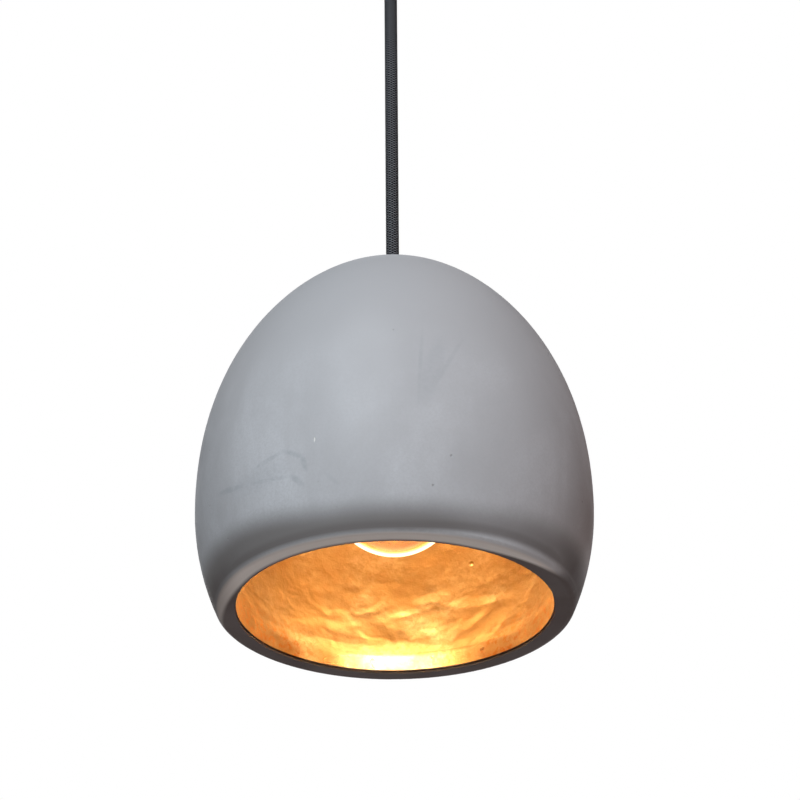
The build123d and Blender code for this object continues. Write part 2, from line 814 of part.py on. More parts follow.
insulator_top_z = tip_z - bulb_tip_height
with BuildPart() as bulb_insulator:
    insulator_radius = bulb_cap_opening / 2 - thread_gap
    with BuildSketch(Plane.XZ):
        with BuildLine():
            Polyline(
                (0, bulb_cap_top_z - insulator_sink),
                (insulator_radius, bulb_cap_top_z - insulator_sink),
                (insulator_radius, bulb_cap_top_z),
                (insulator_top_diameter / 2, insulator_top_z),
                (0, insulator_top_z),
                close=True,
            )
        make_face()
    revolve(axis=Axis.Z)

with BuildPart() as bulb_tip:
    with BuildSketch(Plane.XY.offset(insulator_top_z)):
        Circle(bulb_tip_diameter / 2)
    extrude(amount=bulb_tip_height)
    fillet(bulb_tip.faces().sort_by(Axis.Z)[-1].edges(), bulb_tip_round)

# Glass stem fused across the neck, with its bead at the lower end
stem_top_z = neck_end_z
stem_end_z = stem_top_z - stem_length
with BuildPart() as glass_stem:
    with BuildSketch(Plane.XZ) as stem_section:
        with BuildLine():
            Polyline(
                (0, stem_top_z),
                (neck_radius - glass_wall - thread_gap, stem_top_z),
                (neck_radius - glass_wall - thread_gap, stem_top_z - stem_disc),
                (stem_diameter / 2, stem_top_z - stem_flare),
                (stem_diameter / 2, stem_end_z + bead_diameter),
                (bead_diameter / 2, stem_end_z + bead_diameter / 2),
                (bead_end_diameter / 2, stem_end_z),
                (0, stem_end_z),
                close=True,
            )
        make_face()
    revolve(axis=Axis.Z)

# Filament: an arc of coiled wire in a level plane, held by two leads and three hooks
filament_z = neck_end_z - filament_drop
with BuildPart() as filament:
    with BuildLine(Plane.XY.offset(filament_z)) as filament_arc:
        CenterArc((0, 0), filament_radius, -180, 180)
    with BuildSketch(Plane(origin=filament_arc.line @ 0, z_dir=filament_arc.line % 0)):
        Circle(filament_diameter / 2)
    sweep(path=filament_arc.line)

with BuildPart() as filament_leads:
    for side in (-1, 1):
        root = (side * (bead_diameter / 2 + wire_gap + filament_wire / 2), 0, stem_end_z + bead_diameter / 2)
        end = (side * filament_radius, 0, filament_z + filament_wire / 2 + wire_gap)
        add(swept_wire([root, end], None, filament_wire))

with BuildPart() as filament_hooks:
    for turn in (-135, -90, -45):
        way = Vector(cos(radians(turn)), sin(radians(turn)), 0)
        root = way * (bead_end_diameter / 2 + wire_gap) + Vector(0, 0, stem_end_z - wire_gap)
        end = way * filament_radius + Vector(0, 0, filament_z + filament_diameter / 2 + wire_gap)
        add(swept_wire([root, end], None, support_wire))

pieces = {
    "ceiling_bracket": ceiling_bracket,
    "canopy": canopy,
    "canopy_screws": canopy_screws,
    "cord_grip": cord_grip,
    "grip_screw": grip_screw,
    "grip_nut": grip_nut,
    "terminal_block": terminal_block,
    "terminal_tubes": terminal_tubes,
    "terminal_screws": terminal_screws,
    "block_screw": block_screw,
    "earth_screw": earth_screw,
    "earth_lead": earth_lead,
    "live_lead": live_lead,
    "neutral_lead": neutral_lead,
    "cord_top": cord_top,
    "cord_bend": cord_bend,
    "cord_drop": cord_drop,
    "cord_tail": cord_tail,
    "shade": shade,
    "gold_lining": gold_lining,
    "threaded_tube": threaded_tube,
    "seat_washer": seat_washer,
    "lock_nut": lock_nut,
    "holder_cap": holder_cap,
    "neck_screw": neck_screw,
    "cord_stop": cord_stop,
    "stop_screw": stop_screw,
    "contact_block": contact_block,
    "centre_contact": centre_contact,
    "holder_posts": holder_posts,
    "post_screws": post_screws,
    "live_core": live_core,
    "neutral_core": neutral_core,
    "screw_shell": screw_shell,
    "holder_skirt": holder_skirt,
    "bulb_glass": bulb_glass,
    "bulb_cap": bulb_cap,
    "bulb_insulator": bulb_insulator,
    "bulb_tip": bulb_tip,
    "glass_stem": glass_stem,
    "filament": filament,
    "filament_leads": filament_leads,
    "filament_hooks": filament_hooks,
}
for name, piece in pieces.items():
    piece.part.label = name
    export_step(piece.part, f"parts/{name}.step")

print("furthest lean", round(degrees(full_lean), 1), "degrees")
print("rim", round(rim_z, 1), "bulb's lowest point above the rim", round(bulb_z - rim_z, 1))
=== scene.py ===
"""Looks of a pendant ceiling light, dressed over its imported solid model.

Metres, +Z up, in the model's own frame: the origin lies on the ceiling and the light hangs along -Z.
"""

import json
from math import atan2, cos, radians, sin, sqrt, tau

import bmesh
import bpy
from bpy.props import FloatProperty, FloatVectorProperty, IntProperty, PointerProperty
from mathutils import Matrix, Quaternion, Vector

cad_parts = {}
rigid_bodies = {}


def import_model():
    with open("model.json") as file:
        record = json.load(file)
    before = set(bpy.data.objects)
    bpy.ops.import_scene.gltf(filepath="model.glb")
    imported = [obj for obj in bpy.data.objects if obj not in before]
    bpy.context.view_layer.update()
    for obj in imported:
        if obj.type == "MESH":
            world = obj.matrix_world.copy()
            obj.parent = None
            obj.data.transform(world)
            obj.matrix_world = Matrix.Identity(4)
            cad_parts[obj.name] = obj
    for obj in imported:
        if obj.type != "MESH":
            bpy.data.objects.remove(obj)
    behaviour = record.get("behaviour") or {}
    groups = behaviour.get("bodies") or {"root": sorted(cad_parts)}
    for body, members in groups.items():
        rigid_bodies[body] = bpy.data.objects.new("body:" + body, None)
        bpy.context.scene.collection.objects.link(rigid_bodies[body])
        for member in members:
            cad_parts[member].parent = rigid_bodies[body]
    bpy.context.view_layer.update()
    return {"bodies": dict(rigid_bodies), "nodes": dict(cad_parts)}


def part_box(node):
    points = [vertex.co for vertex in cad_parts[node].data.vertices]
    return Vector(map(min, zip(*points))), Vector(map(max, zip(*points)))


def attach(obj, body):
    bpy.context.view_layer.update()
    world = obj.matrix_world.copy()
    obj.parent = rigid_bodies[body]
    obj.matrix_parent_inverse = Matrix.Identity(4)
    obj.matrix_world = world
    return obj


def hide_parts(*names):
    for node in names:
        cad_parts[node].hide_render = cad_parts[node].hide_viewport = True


bl_info = {
    "name": "Pendant Ceiling Light",
    "version": (1, 0, 0),
    "blender": (4, 5, 0),
    "location": "View3D > Sidebar > Pendant",
    "description": "Dresses a concrete pendant light and its stage",
    "category": "Object",
}

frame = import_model()

# Levels and sizes of the solid model
CORD_LOW, CORD_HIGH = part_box("cord_drop")
SHADE_LOW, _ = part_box("shade")
GLASS_LOW, GLASS_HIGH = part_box("bulb_glass")
CORD_RADIUS = CORD_HIGH.x
RIM_Z = SHADE_LOW.z
MOUTH_RADIUS = 0.072
LIP_Z = RIM_Z + 0.010
GLOBE_RADIUS = GLASS_HIGH.x
GLOBE_CENTRE = Vector((0, 0, GLASS_LOW.z + GLOBE_RADIUS))

# A yarn's section as shares of its spacing and of its crown, and the steps in which one repeat winds
YARN_SECTION = ((-0.46, -0.6), (-0.32, 0.1), (-0.12, 0.4), (0.12, 0.4), (0.32, 0.1), (0.46, -0.6))
REPEAT_STEPS = 6
CORE_SIDES = 32
MERGE_DISTANCE = 1e-6
# Share of its half height past which the ball of braid at the bend draws in no further
BALL_REACH = 0.98
# Straight stretch of the cord's route at each end, in diameters
ROUTE_STRAIGHT = 6

# A band below holds where it starts and ends and, where they aren't 0 and 1, its values there.
# Bands of the braid: by distance from the axis, which sets the painted sheen on the yarn tops, by the fibres'
# noise and by the yarn's top
YARN_TOP_SHEEN = (CORD_RADIUS * 0.970, CORD_RADIUS * 0.992)
FIBRE_SHEEN = (0.45, 0.75, 0.0, 0.5)
FIBRE_ROUGHNESS = (0.3, 0.7, 0.42, 0.54)
DEEP_ROUGHNESS = (0.0, 1.0, 0.4, 0.0)
YARN_COAT = 0.3
YARN_PALER = 1.5
FIBRE_RELIEF = 0.00003

# Bands of the concrete by level
# Painted shadow where the concrete turns under above the rim, and a darker line of it at the foot
TOE_TOP = (RIM_Z + 0.0180, RIM_Z + 0.0045)
TOE_FOOT = (RIM_Z, RIM_Z + 0.0024)
CREASE_SHADOW_TOP = (RIM_Z + 0.0062, RIM_Z + 0.0035)
CREASE_SHADOW_FOOT = (RIM_Z + 0.0002, RIM_Z + 0.0020, 0.0, 0.28)
# Painted shadow low on the rim's right and left sides
RIGHT_SHADOW_TOP = (RIM_Z + 0.022, RIM_Z + 0.004)
LEFT_SHADOW_TOP = (RIM_Z + 0.012, RIM_Z + 0.003)
# Painted shadow over the dome's upper part, fading out below and at the crown
SHOULDER_SHADOW_FOOT = (RIM_Z + 0.060, RIM_Z + 0.110)
SHOULDER_SHADOW_TOP = (RIM_Z + 0.171, RIM_Z + 0.150)
# Painted light: a paler, warmer tone for bounce light on the flat under the rim
FLAT_FOOT_LIGHT = (RIM_Z + 0.0010, RIM_Z + 0.0001)
COAT_TOP = (RIM_Z + 0.0040, RIM_Z + 0.0030)
# Bands of the concrete across the shade: how far the painted shadow above the rim rises to its sides, where
# it fades, and the painted shadow low at the rim's sides
TOE_TOP_RISE = (0.025, 0.070, 0.0, 0.0045)
TOE_FOOT_RISE = (0.0, 0.060, 0.0, 0.0026)
TOE_FADE = (0.015, 0.045, 1.0, 0.75)
RIGHT_SHADOW = (0.069, 0.082, 0.0, 0.9)
LEFT_SHADOW = (-0.066, -0.082, 0.0, 0.6)
# The rim's dark coat, spread as painted shadow: how its edge moves out from front to back, how soft it is and
# how it leans to one side
COAT_SHADOW_RUN = (-0.056, 0.008, MOUTH_RADIUS + 0.0011, MOUTH_RADIUS + 0.0095)
COAT_EDGE = (0.0018, -0.0012)
COAT_SHADOW_LEAN = 0.35
# How much of a rub or a smudge the grain leaves, and how strong each kind of mark is
RUB_GRAIN = (0.0, 1.0, 0.55, 1.0)
SMUDGE_GRAIN = (0.0, 1.0, 0.6, 1.0)
RUB_SHARE = 0.22
SMUDGE_SHARE = 0.11
PALE_SHARE = 0.16
PORE_SHARE = 0.5
CONCRETE_ROUGHNESS = (0.0, 0.8, 0.66, 0.80)
CONCRETE_RELIEF = 0.00035
DENT_DEPTH = 1.5
STREAK_STRETCH = (1.0, 1.0, 0.22)

# Marks on the concrete: middle, tilt, half length and half width
RUB_MARKS = (
    (Vector((-0.0555, -0.0712, RIM_Z + 0.0398)), radians(15), 0.0098, 0.0016),
    (Vector((-0.0443, -0.0786, RIM_Z + 0.0394)), radians(-31), 0.0074, 0.0017),
    (Vector((-0.0393, -0.0805, RIM_Z + 0.0338)), radians(-74), 0.0056, 0.0018),
    (Vector((-0.0718, -0.0537, RIM_Z + 0.0344)), radians(-16), 0.0098, 0.0020),
    (Vector((-0.0555, -0.0700, RIM_Z + 0.0309)), radians(-9), 0.0138, 0.0016),
    (Vector((-0.0425, -0.0778, RIM_Z + 0.0269)), radians(-44), 0.0062, 0.0018),
)
FAINT_MARKS = (
    (Vector((-0.0268, -0.0839, RIM_Z + 0.0243)), radians(-45), 0.0055, 0.0013),
    (Vector((0.0118, -0.0858, RIM_Z + 0.0767)), radians(-93), 0.0290, 0.0014),
    (Vector((0.0223, -0.0836, RIM_Z + 0.0770)), radians(-115), 0.0270, 0.0016),
    (Vector((0.0173, -0.0850, RIM_Z + 0.0764)), radians(-104), 0.0270, 0.0065),
    (Vector((-0.0600, -0.0680, RIM_Z + 0.0330)), radians(4), 0.0210, 0.0080),
)
# A paler tone painted over a stretch of the front
PALE_BAND = (Vector((-0.0140, -0.0880, RIM_Z + 0.0760)), radians(87), 0.0600, 0.0230)
CHIP = (Vector((-0.0346, -0.0836, RIM_Z + 0.0438)), radians(90), 0.0016, 0.00045)
MARK_DEPTH = 0.03
MARK_EDGE = (1.0, 0.3)

# Bands of the gold leaf: by level, across the shade or towards its far side, and by noise
LEAF_HEM = (RIM_Z + 0.0018, RIM_Z + 0.0013)
FAR_SIDE = (0.036, 0.060)
# Painted shadow on the leaf towards its left and right sides
SHADOW_LEFT = (-0.034, -0.066, 0.0, 0.85)
SHADOW_RIGHT = (0.036, 0.066, 0.0, 0.6)
RUST_SPECKLE = (0.45, 0.64, 0.0, 0.85)
RUST_TOP = (RIM_Z + 0.026, RIM_Z + 0.006)
RUST_FAR = (0.054, 0.067, 1.0, 0.25)
LEAF_ROUGHNESS = (0.35, 0.70, 0.48, 0.58)
LIP_ROUGHNESS = (LIP_Z + 0.001, LIP_Z - 0.003, 0.0, -0.21)
# Relief of the leaf in millimetres: the lip's lean, near and far, the swell above it, the waves and the grit
LIP_LEAN = (0.0, 1.0, 2.9, 1.0)
SWELL_BAND = (LIP_Z, LIP_Z + 0.045)
SWELL_HEIGHT = 1.6
WAVES_FOOT = (LIP_Z - 0.002, LIP_Z + 0.005, 0.22, 1.0)
WAVES_TOP = (RIM_Z + 0.028, RIM_Z + 0.062, 1.7, 0.45)
WAVES_AT_SHADOWED_SIDES = (0.0, 0.85, 1.0, 0.5)
GRIT_HEIGHT = 0.40
GRAIN_HEIGHT = 0.20
LEAF_RELIEF = 0.001

# Plain finishes: how far their roughness varies, how strong their grain is and how dark their clouds are
ROUGHNESS_SPREAD = 0.06
GRAIN_STRENGTH = 0.4
METAL_CLOUD = 0.72
SLEEVE_CLOUD = 0.7

# Colours of small pieces, in linear light, some with the colour of their clouds
CHIP_WHITE = (0.82, 0.82, 0.82)
WHITE_NYLON = ((0.72, 0.70, 0.64), (0.62, 0.60, 0.54))
PORCELAIN = ((0.78, 0.76, 0.70), (0.70, 0.67, 0.60))
BLACK_GLASS = ((0.01, 0.01, 0.012), (0.03, 0.03, 0.034))
EARTH_GREEN = (0.16, 0.36, 0.05)
LIVE_BROWN = (0.13, 0.045, 0.016)
NEUTRAL_BLUE = (0.02, 0.06, 0.26)
BULB_BRASS = (0.72, 0.63, 0.42)
NICKEL = (0.58, 0.56, 0.53)
WARM_GLASS = ((1.0, 0.88, 0.66), (1.0, 0.83, 0.56))
HOT_WIRE = ((1.0, 0.66, 0.30), (1.0, 0.48, 0.14))

# The bulb's glow: from the middle of the glass to its edge, then the strength of each glowing piece
EDGE_GLOW = ((0.50, (0.03, 0.012, 0.002)), (0.67, (0.40, 0.19, 0.05)), (0.80, (1.0, 0.86, 0.62)))
GLASS_GLOW = 1.6
STEM_GLOW = 0.4
WIRE_GLOW = 60.0
BULB_TINT = (1.0, 0.80, 0.55)
BULB_LAMP_RADIUS = 0.010

# Size of the picture that the camera frames, in pixels, and where the aim point stands in it
PICTURE_SIZE = 800
AIM_PIXEL = Vector((395.0, 591.5))
AIM_ABOVE_RIM = 0.00877
SENSOR_WIDTH = 36.0
VIEW_REACH = 50.0

# Soft lamps: name, place, size, tint and whether glossy faces mirror them
SOFT_LAMPS = (
    ("key", (-0.40, -2.06, 0.36), 0.9, (0.95, 0.985, 1.0), True),
    ("low", (0.1, 0.50, -1.90), 0.8, (1.0, 0.93, 0.88), False),
    ("back", (-0.5, 2.1, 0.4), 1.0, (1.0, 1.0, 1.0), False),
    ("right", (1.85, -0.85, -0.1), 1.0, (1.0, 0.50, 0.33), True),
)

# The surround, and the floor: its half width, its tones where it is seen, and what it sends back as light
WHITE = (1.0, 1.0, 1.0)
AMBIENT_TINT = (0.93, 0.96, 1.0)
AMBIENT_TOP = 0.9
FLOOR_REACH = 8.0
FLOOR_TONES = ((0.86, 0.86, 0.86), (0.83, 0.83, 0.83))
FLOOR_BOUNCE = (0.15, 0.15, 0.15)
# Distance over which the floor goes over into the white surround, and how white it is at both ends
FLOOR_FADE = (3.0, 6.0, 0.6, 1.0)


def colour_property(name, description, default):
    """A colour that a user may change, in linear light."""
    return FloatVectorProperty(
        name=name, description=description, default=default, subtype="COLOR", size=3, min=0, max=1
    )


def length_property(name, description, default):
    """A length in metres."""
    return FloatProperty(name=name, description=description, default=default, unit="LENGTH", precision=5)


def angle_property(name, description, degrees):
    """An angle, given in degrees."""
    return FloatProperty(name=name, description=description, default=radians(degrees), subtype="ANGLE")


def power_property(name, description, default):
    """A lamp's power in watts."""
    return FloatProperty(name=name, description=description, default=default, unit="POWER")


class PendantCord(bpy.types.PropertyGroup):
    """Braid of the textile cord."""

    yarns: IntProperty(name="Yarns", description="Yarns that wind each way", default=8, min=4, max=24)
    lead: length_property("Lead", "Rise of a yarn in one turn", 0.0104)
    yarn_rise: length_property("Yarn rise", "How far a yarn goes over and under the others", 0.00009)
    yarn_crown: length_property("Yarn crown", "How far a yarn's middle stands over its edges", 0.00013)
    # Yarn-top colour: a painted sheen in a paler tone over the dark yarn
    colour: colour_property("Colour", "Yarn on top", (0.165, 0.174, 0.192))
    deep_colour: colour_property("Deep colour", "Between the yarns", (0.003, 0.002, 0.004))


class PendantFinish(bpy.types.PropertyGroup):
    """Colours of the light's finishes."""

    concrete: colour_property("Concrete", "Shade outside", (0.556, 0.575, 0.616))
    # Dark concrete: the clouds' colour, and also the painted shadow over the dome's upper part
    concrete_dark: colour_property("Dark concrete", "Clouds and shoulder of the shade", (0.432, 0.440, 0.468))
    # Pale concrete: a paler tone painted over a stretch of the front
    concrete_pale: colour_property("Pale concrete", "Rubbed stretch of the front", (0.628, 0.650, 0.688))
    concrete_scuff: colour_property("Scuff", "Rubbed marks on the shade", (0.150, 0.185, 0.225))
    # Foot: painted light, a paler and warmer tone for bounce light on the flat under the rim
    concrete_foot_light: colour_property("Foot", "Bare flat under the rim", (0.60, 0.562, 0.550))
    # Painted shadow on the down-turned band above the rim; also the colour of the pores
    concrete_toe_shadow_and_pores: colour_property("Toe", "Damp band above the rim", (0.185, 0.178, 0.180))
    # Rim coat: the dark size under the leaf, also used as painted shadow on the rim
    rim_coat_and_shadow: colour_property("Rim coat", "Dark size under the leaf, bare on the rim", (0.070, 0.055, 0.054))
    gold: colour_property("Gold", "Leaf inside the shade", (0.81, 0.56, 0.26))
    gold_deep: colour_property("Deep gold", "Thin places of the leaf", (0.60, 0.35, 0.12))
    # Thin gold: painted shadow on the leaf's left and right sides
    gold_side_shadow: colour_property("Thin gold", "Leaf worn thin at the sides", (0.36, 0.20, 0.07))
    rust: colour_property("Rust", "Speckles in the leaf", (0.55, 0.18, 0.03))
    canopy: colour_property("Canopy", "Painted steel", (0.022, 0.022, 0.024))
    nylon: colour_property("Nylon", "Grip and collar", (0.025, 0.025, 0.027))
    steel: colour_property("Steel", "Zinc-plated steel", (0.60, 0.61, 0.63))
    brass: colour_property("Brass", "Contacts and shells", (0.76, 0.55, 0.24))
    phenolic: colour_property("Phenolic", "Lampholder", (0.016, 0.015, 0.015))


class PendantStage(bpy.types.PropertyGroup):
    """Camera, lamps and floor."""

    view_distance: length_property("View distance", "From the aim point to the camera", 2.0)
    view_drop: angle_property("View drop", "Camera below the level of the aim point", 24.6)
    view_roll: angle_property("View roll", "How far the hanging light leans in the picture", 0.42)
    focal_pixels: FloatProperty(name="Focal length", description="In pixels of the picture", default=4442.0)
    floor_drop: length_property("Floor", "Floor below the ceiling", 2.3)
    bulb_power: power_property("Bulb", "Power of the lit bulb", 0.24)
    key_power: power_property("Key", "Power of the large front lamp", 45.5)
    low_power: power_property("Low", "Power of the lamp below and behind", 12.0)
    right_power: power_property("Right", "Power of the warm side lamp", 4.4)
    back_power: power_property("Back", "Power of the lamp behind", 14.0)
    ambient: FloatProperty(name="Ambient", description="Strength of light from above", default=0.09, min=0)


def add_node(tree, kind, inputs=None, **settings):
    """A shader node with its settings made and its inputs set or linked."""
    node = tree.nodes.new(kind)
    for key, value in settings.items():
        setattr(node, key, value)
    for key, value in (inputs or {}).items():
        if isinstance(value, bpy.types.NodeSocket):
            tree.links.new(value, node.inputs[key])
        else:
            node.inputs[key].default_value = value
    return node


def rgba(colour):
    """A colour with full alpha."""
    return (*colour, 1.0)


def toned(colour, share):
    """A colour made darker or brighter."""
    return tuple(min(1.0, share * part) for part in colour)


def new_group(name, inputs, outputs):
    """An empty shader group with named sockets, and its two end nodes."""
    tree = bpy.data.node_groups.new(name, "ShaderNodeTree")
    for label, kind, default in inputs:
        socket = tree.interface.new_socket(label, in_out="INPUT", socket_type=kind)
        if default is not None:
            socket.default_value = default
    for label, kind in outputs:
        tree.interface.new_socket(label, in_out="OUTPUT", socket_type=kind)
    return tree, tree.nodes.new("NodeGroupInput").outputs, tree.nodes.new("NodeGroupOutput").inputs


def make_mottle():
    """Soft cloudy change between two colours."""
    tree, given, put = new_group(
        "Mottle",
        [
            ("Vector", "NodeSocketVector", None),
            ("Colour", "NodeSocketColor", (0.5, 0.5, 0.5, 1)),
            ("Second Colour", "NodeSocketColor", (0.2, 0.2, 0.2, 1)),
            ("Scale", "NodeSocketFloat", 30.0),
            ("Amount", "NodeSocketFloat", 1.0),
        ],
        [("Colour", "NodeSocketColor"), ("Mask", "NodeSocketFloat")],
    )
    noise = add_node(
        tree,
        "ShaderNodeTexNoise",
        {
            "Vector": given["Vector"],
            "Scale": given["Scale"],
            "Detail": 5.0,
            "Roughness": 0.58,
            "Distortion": 0.4,
        },
    )
    mask = add_node(
        tree,
        "ShaderNodeMapRange",
        {"Value": noise.outputs["Fac"], "From Min": 0.36, "From Max": 0.66, "To Max": given["Amount"]},
        interpolation_type="SMOOTHSTEP",
    )
    mix = add_node(
        tree,
        "ShaderNodeMix",
        {0: mask.outputs["Result"], 6: given["Colour"], 7: given["Second Colour"]},
        data_type="RGBA",
    )
    tree.links.new(mix.outputs[2], put["Colour"])
    tree.links.new(mask.outputs["Result"], put["Mask"])


def make_grain():
    """Fine grain as a height, with a coarser swell under it."""
    tree, given, put = new_group(
        "Grain",
        [
            ("Vector", "NodeSocketVector", None),
            ("Scale", "NodeSocketFloat", 800.0),
            ("Swell Scale", "NodeSocketFloat", 60.0),
            ("Swell", "NodeSocketFloat", 0.5),
        ],
        [("Height", "NodeSocketFloat")],
    )
    fine = add_node(
        tree,
        "ShaderNodeTexNoise",
        {"Vector": given["Vector"], "Scale": given["Scale"], "Detail": 4.0, "Roughness": 0.6},
    )
    broad = add_node(
        tree,
        "ShaderNodeTexNoise",
        {"Vector": given["Vector"], "Scale": given["Swell Scale"], "Detail": 2.0},
    )
    height = add_node(
        tree,
        "ShaderNodeMix",
        {0: given["Swell"], 2: fine.outputs["Fac"], 3: broad.outputs["Fac"]},
        data_type="FLOAT",
    )
    tree.links.new(height.outputs[0], put["Height"])


def make_specks():
    """Scattered round specks: pores in concrete, grit under leaf."""
    tree, given, put = new_group(
        "Specks",
        [
            ("Vector", "NodeSocketVector", None),
            ("Scale", "NodeSocketFloat", 150.0),
            ("Size", "NodeSocketFloat", 0.2),
            ("Share", "NodeSocketFloat", 0.3),
        ],
        [("Mask", "NodeSocketFloat")],
    )
    cells = add_node(tree, "ShaderNodeTexVoronoi", {"Vector": given["Vector"], "Scale": given["Scale"]})
    dot = add_node(
        tree,
        "ShaderNodeMapRange",
        {"Value": cells.outputs["Distance"], "From Min": given["Size"], "From Max": 0.0},
        interpolation_type="SMOOTHSTEP",
    )
    pick = add_node(tree, "ShaderNodeSeparateColor", {"Color": cells.outputs["Color"]})
    kept = add_node(
        tree, "ShaderNodeMath", {0: pick.outputs["Red"], 1: given["Share"]}, operation="LESS_THAN"
    )
    mask = add_node(
        tree, "ShaderNodeMath", {0: dot.outputs["Result"], 1: kept.outputs["Value"]}, operation="MULTIPLY"
    )
    tree.links.new(mask.outputs["Value"], put["Mask"])


class Paint:
    """A material in the making: its tree, its Principled shader and its object coordinates."""

    def __init__(self, name, **constants):
        self.material = bpy.data.materials.new(name)
        self.material.use_nodes = True
        self.tree = self.material.node_tree
        self.tree.nodes.clear()
        self.output = self.tree.nodes.new("ShaderNodeOutputMaterial")
        self.shader = self.tree.nodes.new("ShaderNodeBsdfPrincipled")
        self.tree.links.new(self.shader.outputs["BSDF"], self.output.inputs["Surface"])
        self.place = self.tree.nodes.new("ShaderNodeTexCoord").outputs["Object"]
        for label, value in constants.items():
            self.shader.inputs[label.replace("_", " ")].default_value = value

    def node(self, kind, inputs=None, **settings):
        """A node in this material."""
        return add_node(self.tree, kind, inputs, **settings)

    def effect(self, name, **inputs):
        """The outputs of a shared effect, on object coordinates unless another vector is given."""
        values = {label.replace("_", " "): value for label, value in inputs.items()}
        group = bpy.data.node_groups[name]
        return self.node("ShaderNodeGroup", {"Vector": self.place, **values}, node_tree=group).outputs

    def axes(self):
        """The three object coordinates."""
        return self.node("ShaderNodeSeparateXYZ", {0: self.place}).outputs

    def noise(self, scale, detail, roughness, distortion=0.0):
        """Plain noise on object coordinates."""
        inputs = {
            "Vector": self.place,
            "Scale": scale,
            "Detail": detail,
            "Roughness": roughness,
            "Distortion": distortion,
        }
        return self.node("ShaderNodeTexNoise", inputs).outputs["Fac"]

    def remap(self, value, low, high, to_low=0.0, to_high=1.0, eased=True):
        """A value brought from one range to another, eased at its ends or straight."""
        inputs = {"Value": value, "From Min": low, "From Max": high, "To Min": to_low, "To Max": to_high}
        way = "SMOOTHSTEP" if eased else "LINEAR"
        return self.node("ShaderNodeMapRange", inputs, interpolation_type=way).outputs["Result"]

    def blend(self, mask, below, above):
        """One colour over another where the mask is."""
        return self.node("ShaderNodeMix", {0: mask, 6: below, 7: above}, data_type="RGBA").outputs[2]

    def fold(self, operation, *values):
        """Values joined in order by one operation."""
        total = values[0]
        for value in values[1:]:
            total = self.node("ShaderNodeMath", {0: total, 1: value}, operation=operation).outputs["Value"]
        return total

    def add(self, *values):
        """The sum of values."""
        return self.fold("ADD", *values)

    def less(self, value, taken):
        """A value less another."""
        return self.fold("SUBTRACT", value, taken)

    def times(self, *values):
        """The product of values."""
        return self.fold("MULTIPLY", *values)

    def most(self, *values):
        """The largest of values."""
        return self.fold("MAXIMUM", *values)

    def vector(self, operation, *vectors):
        """A vector made from others by one operation."""
        inputs = dict(enumerate(vectors))
        return self.node("ShaderNodeVectorMath", inputs, operation=operation).outputs["Vector"]

    def length(self, vector):
        """How long a vector is."""
        return self.node("ShaderNodeVectorMath", {0: vector}, operation="LENGTH").outputs["Value"]

    def off_axis(self, x, y):
        """Distance from the light's upright axis."""
        return self.length(self.node("ShaderNodeCombineXYZ", {0: x, 1: y}).outputs["Vector"])

    def stroke(self, middle, tilt, half_length, half_width):
        """A soft straight mark on the side that faces the middle point."""
        away = self.vector("SUBTRACT", self.place, middle)
        turn = self.node("ShaderNodeVectorRotate", {"Vector": away, "Angle": tilt}, rotation_type="Y_AXIS")
        size = (1 / half_length, 1 / MARK_DEPTH, 1 / half_width)
        return self.remap(self.length(self.vector("MULTIPLY", turn.outputs["Vector"], size)), *MARK_EDGE)

    def wire(self, **sockets):
        """Links to the shader's inputs."""
        for label, socket in sockets.items():
            self.tree.links.new(socket, self.shader.inputs[label.replace("_", " ")])

    def bump(self, height, depth, strength=1.0):
        """Relief of that depth in metres."""
        made = self.node("ShaderNodeBump", {"Height": height, "Distance": depth, "Strength": strength})
        self.tree.links.new(made.outputs["Normal"], self.shader.inputs["Normal"])

    def mix(self, share, first, second):
        """Two shaders mixed by a share."""
        return self.node("ShaderNodeMixShader", {0: share, 1: first, 2: second}).outputs["Shader"]

    def show(self, shader):
        """Puts a shader on the surface in place of the Principled one."""
        self.tree.links.new(shader, self.output.inputs["Surface"])


def plain_finish(name, colour, clouds, cloud_scale, grain_scale, roughness, depth, **constants):
    """A moulded, painted or plated finish: clouded colour, uneven gloss and a fine grain."""
    paint = Paint(name, **constants)
    mottle = paint.effect("Mottle", Colour=rgba(colour), Second_Colour=rgba(clouds), Scale=cloud_scale)
    grain = paint.effect("Grain", Scale=grain_scale, Swell_Scale=cloud_scale)
    low, high = roughness - ROUGHNESS_SPREAD, roughness + ROUGHNESS_SPREAD
    paint.wire(Base_Color=mottle["Colour"], Roughness=paint.remap(mottle["Mask"], 0.0, 1.0, low, high))
    paint.bump(grain["Height"], depth, GRAIN_STRENGTH)
    return paint.material


def metal_finish(name, colour, roughness):
    """Plated or bare metal with fine turning marks and a dulled bloom."""
    return plain_finish(
        name,
        colour,
        toned(colour, METAL_CLOUD),
        cloud_scale=180.0,
        grain_scale=2600.0,
        roughness=roughness,
        depth=0.00006,
        Metallic=1.0,
    )


def sleeve_finish(name, colour):
    """Soft plastic insulation on a wire."""
    return plain_finish(
        name,
        colour,
        toned(colour, SLEEVE_CLOUD),
        cloud_scale=240.0,
        grain_scale=3000.0,
        roughness=0.45,
        depth=0.00004,
    )


def toe_shadow_masks(paint, x, level):
    """Painted shadow on the down-turned band above the rim, and a darker line of painted shadow at its foot.
    """
    sideways = paint.node("ShaderNodeMath", {0: x}, operation="ABSOLUTE").outputs["Value"]
    top = paint.less(level, paint.remap(sideways, *TOE_TOP_RISE))
    foot = paint.less(level, paint.remap(x, *TOE_FOOT_RISE))
    toe_shadow = paint.times(
        paint.remap(top, *TOE_TOP),
        paint.remap(foot, *TOE_FOOT, eased=False),
        paint.remap(x, *TOE_FADE),
    )
    crease_shadow = paint.times(paint.remap(foot, *CREASE_SHADOW_TOP), paint.remap(foot, *CREASE_SHADOW_FOOT))
    return toe_shadow, crease_shadow


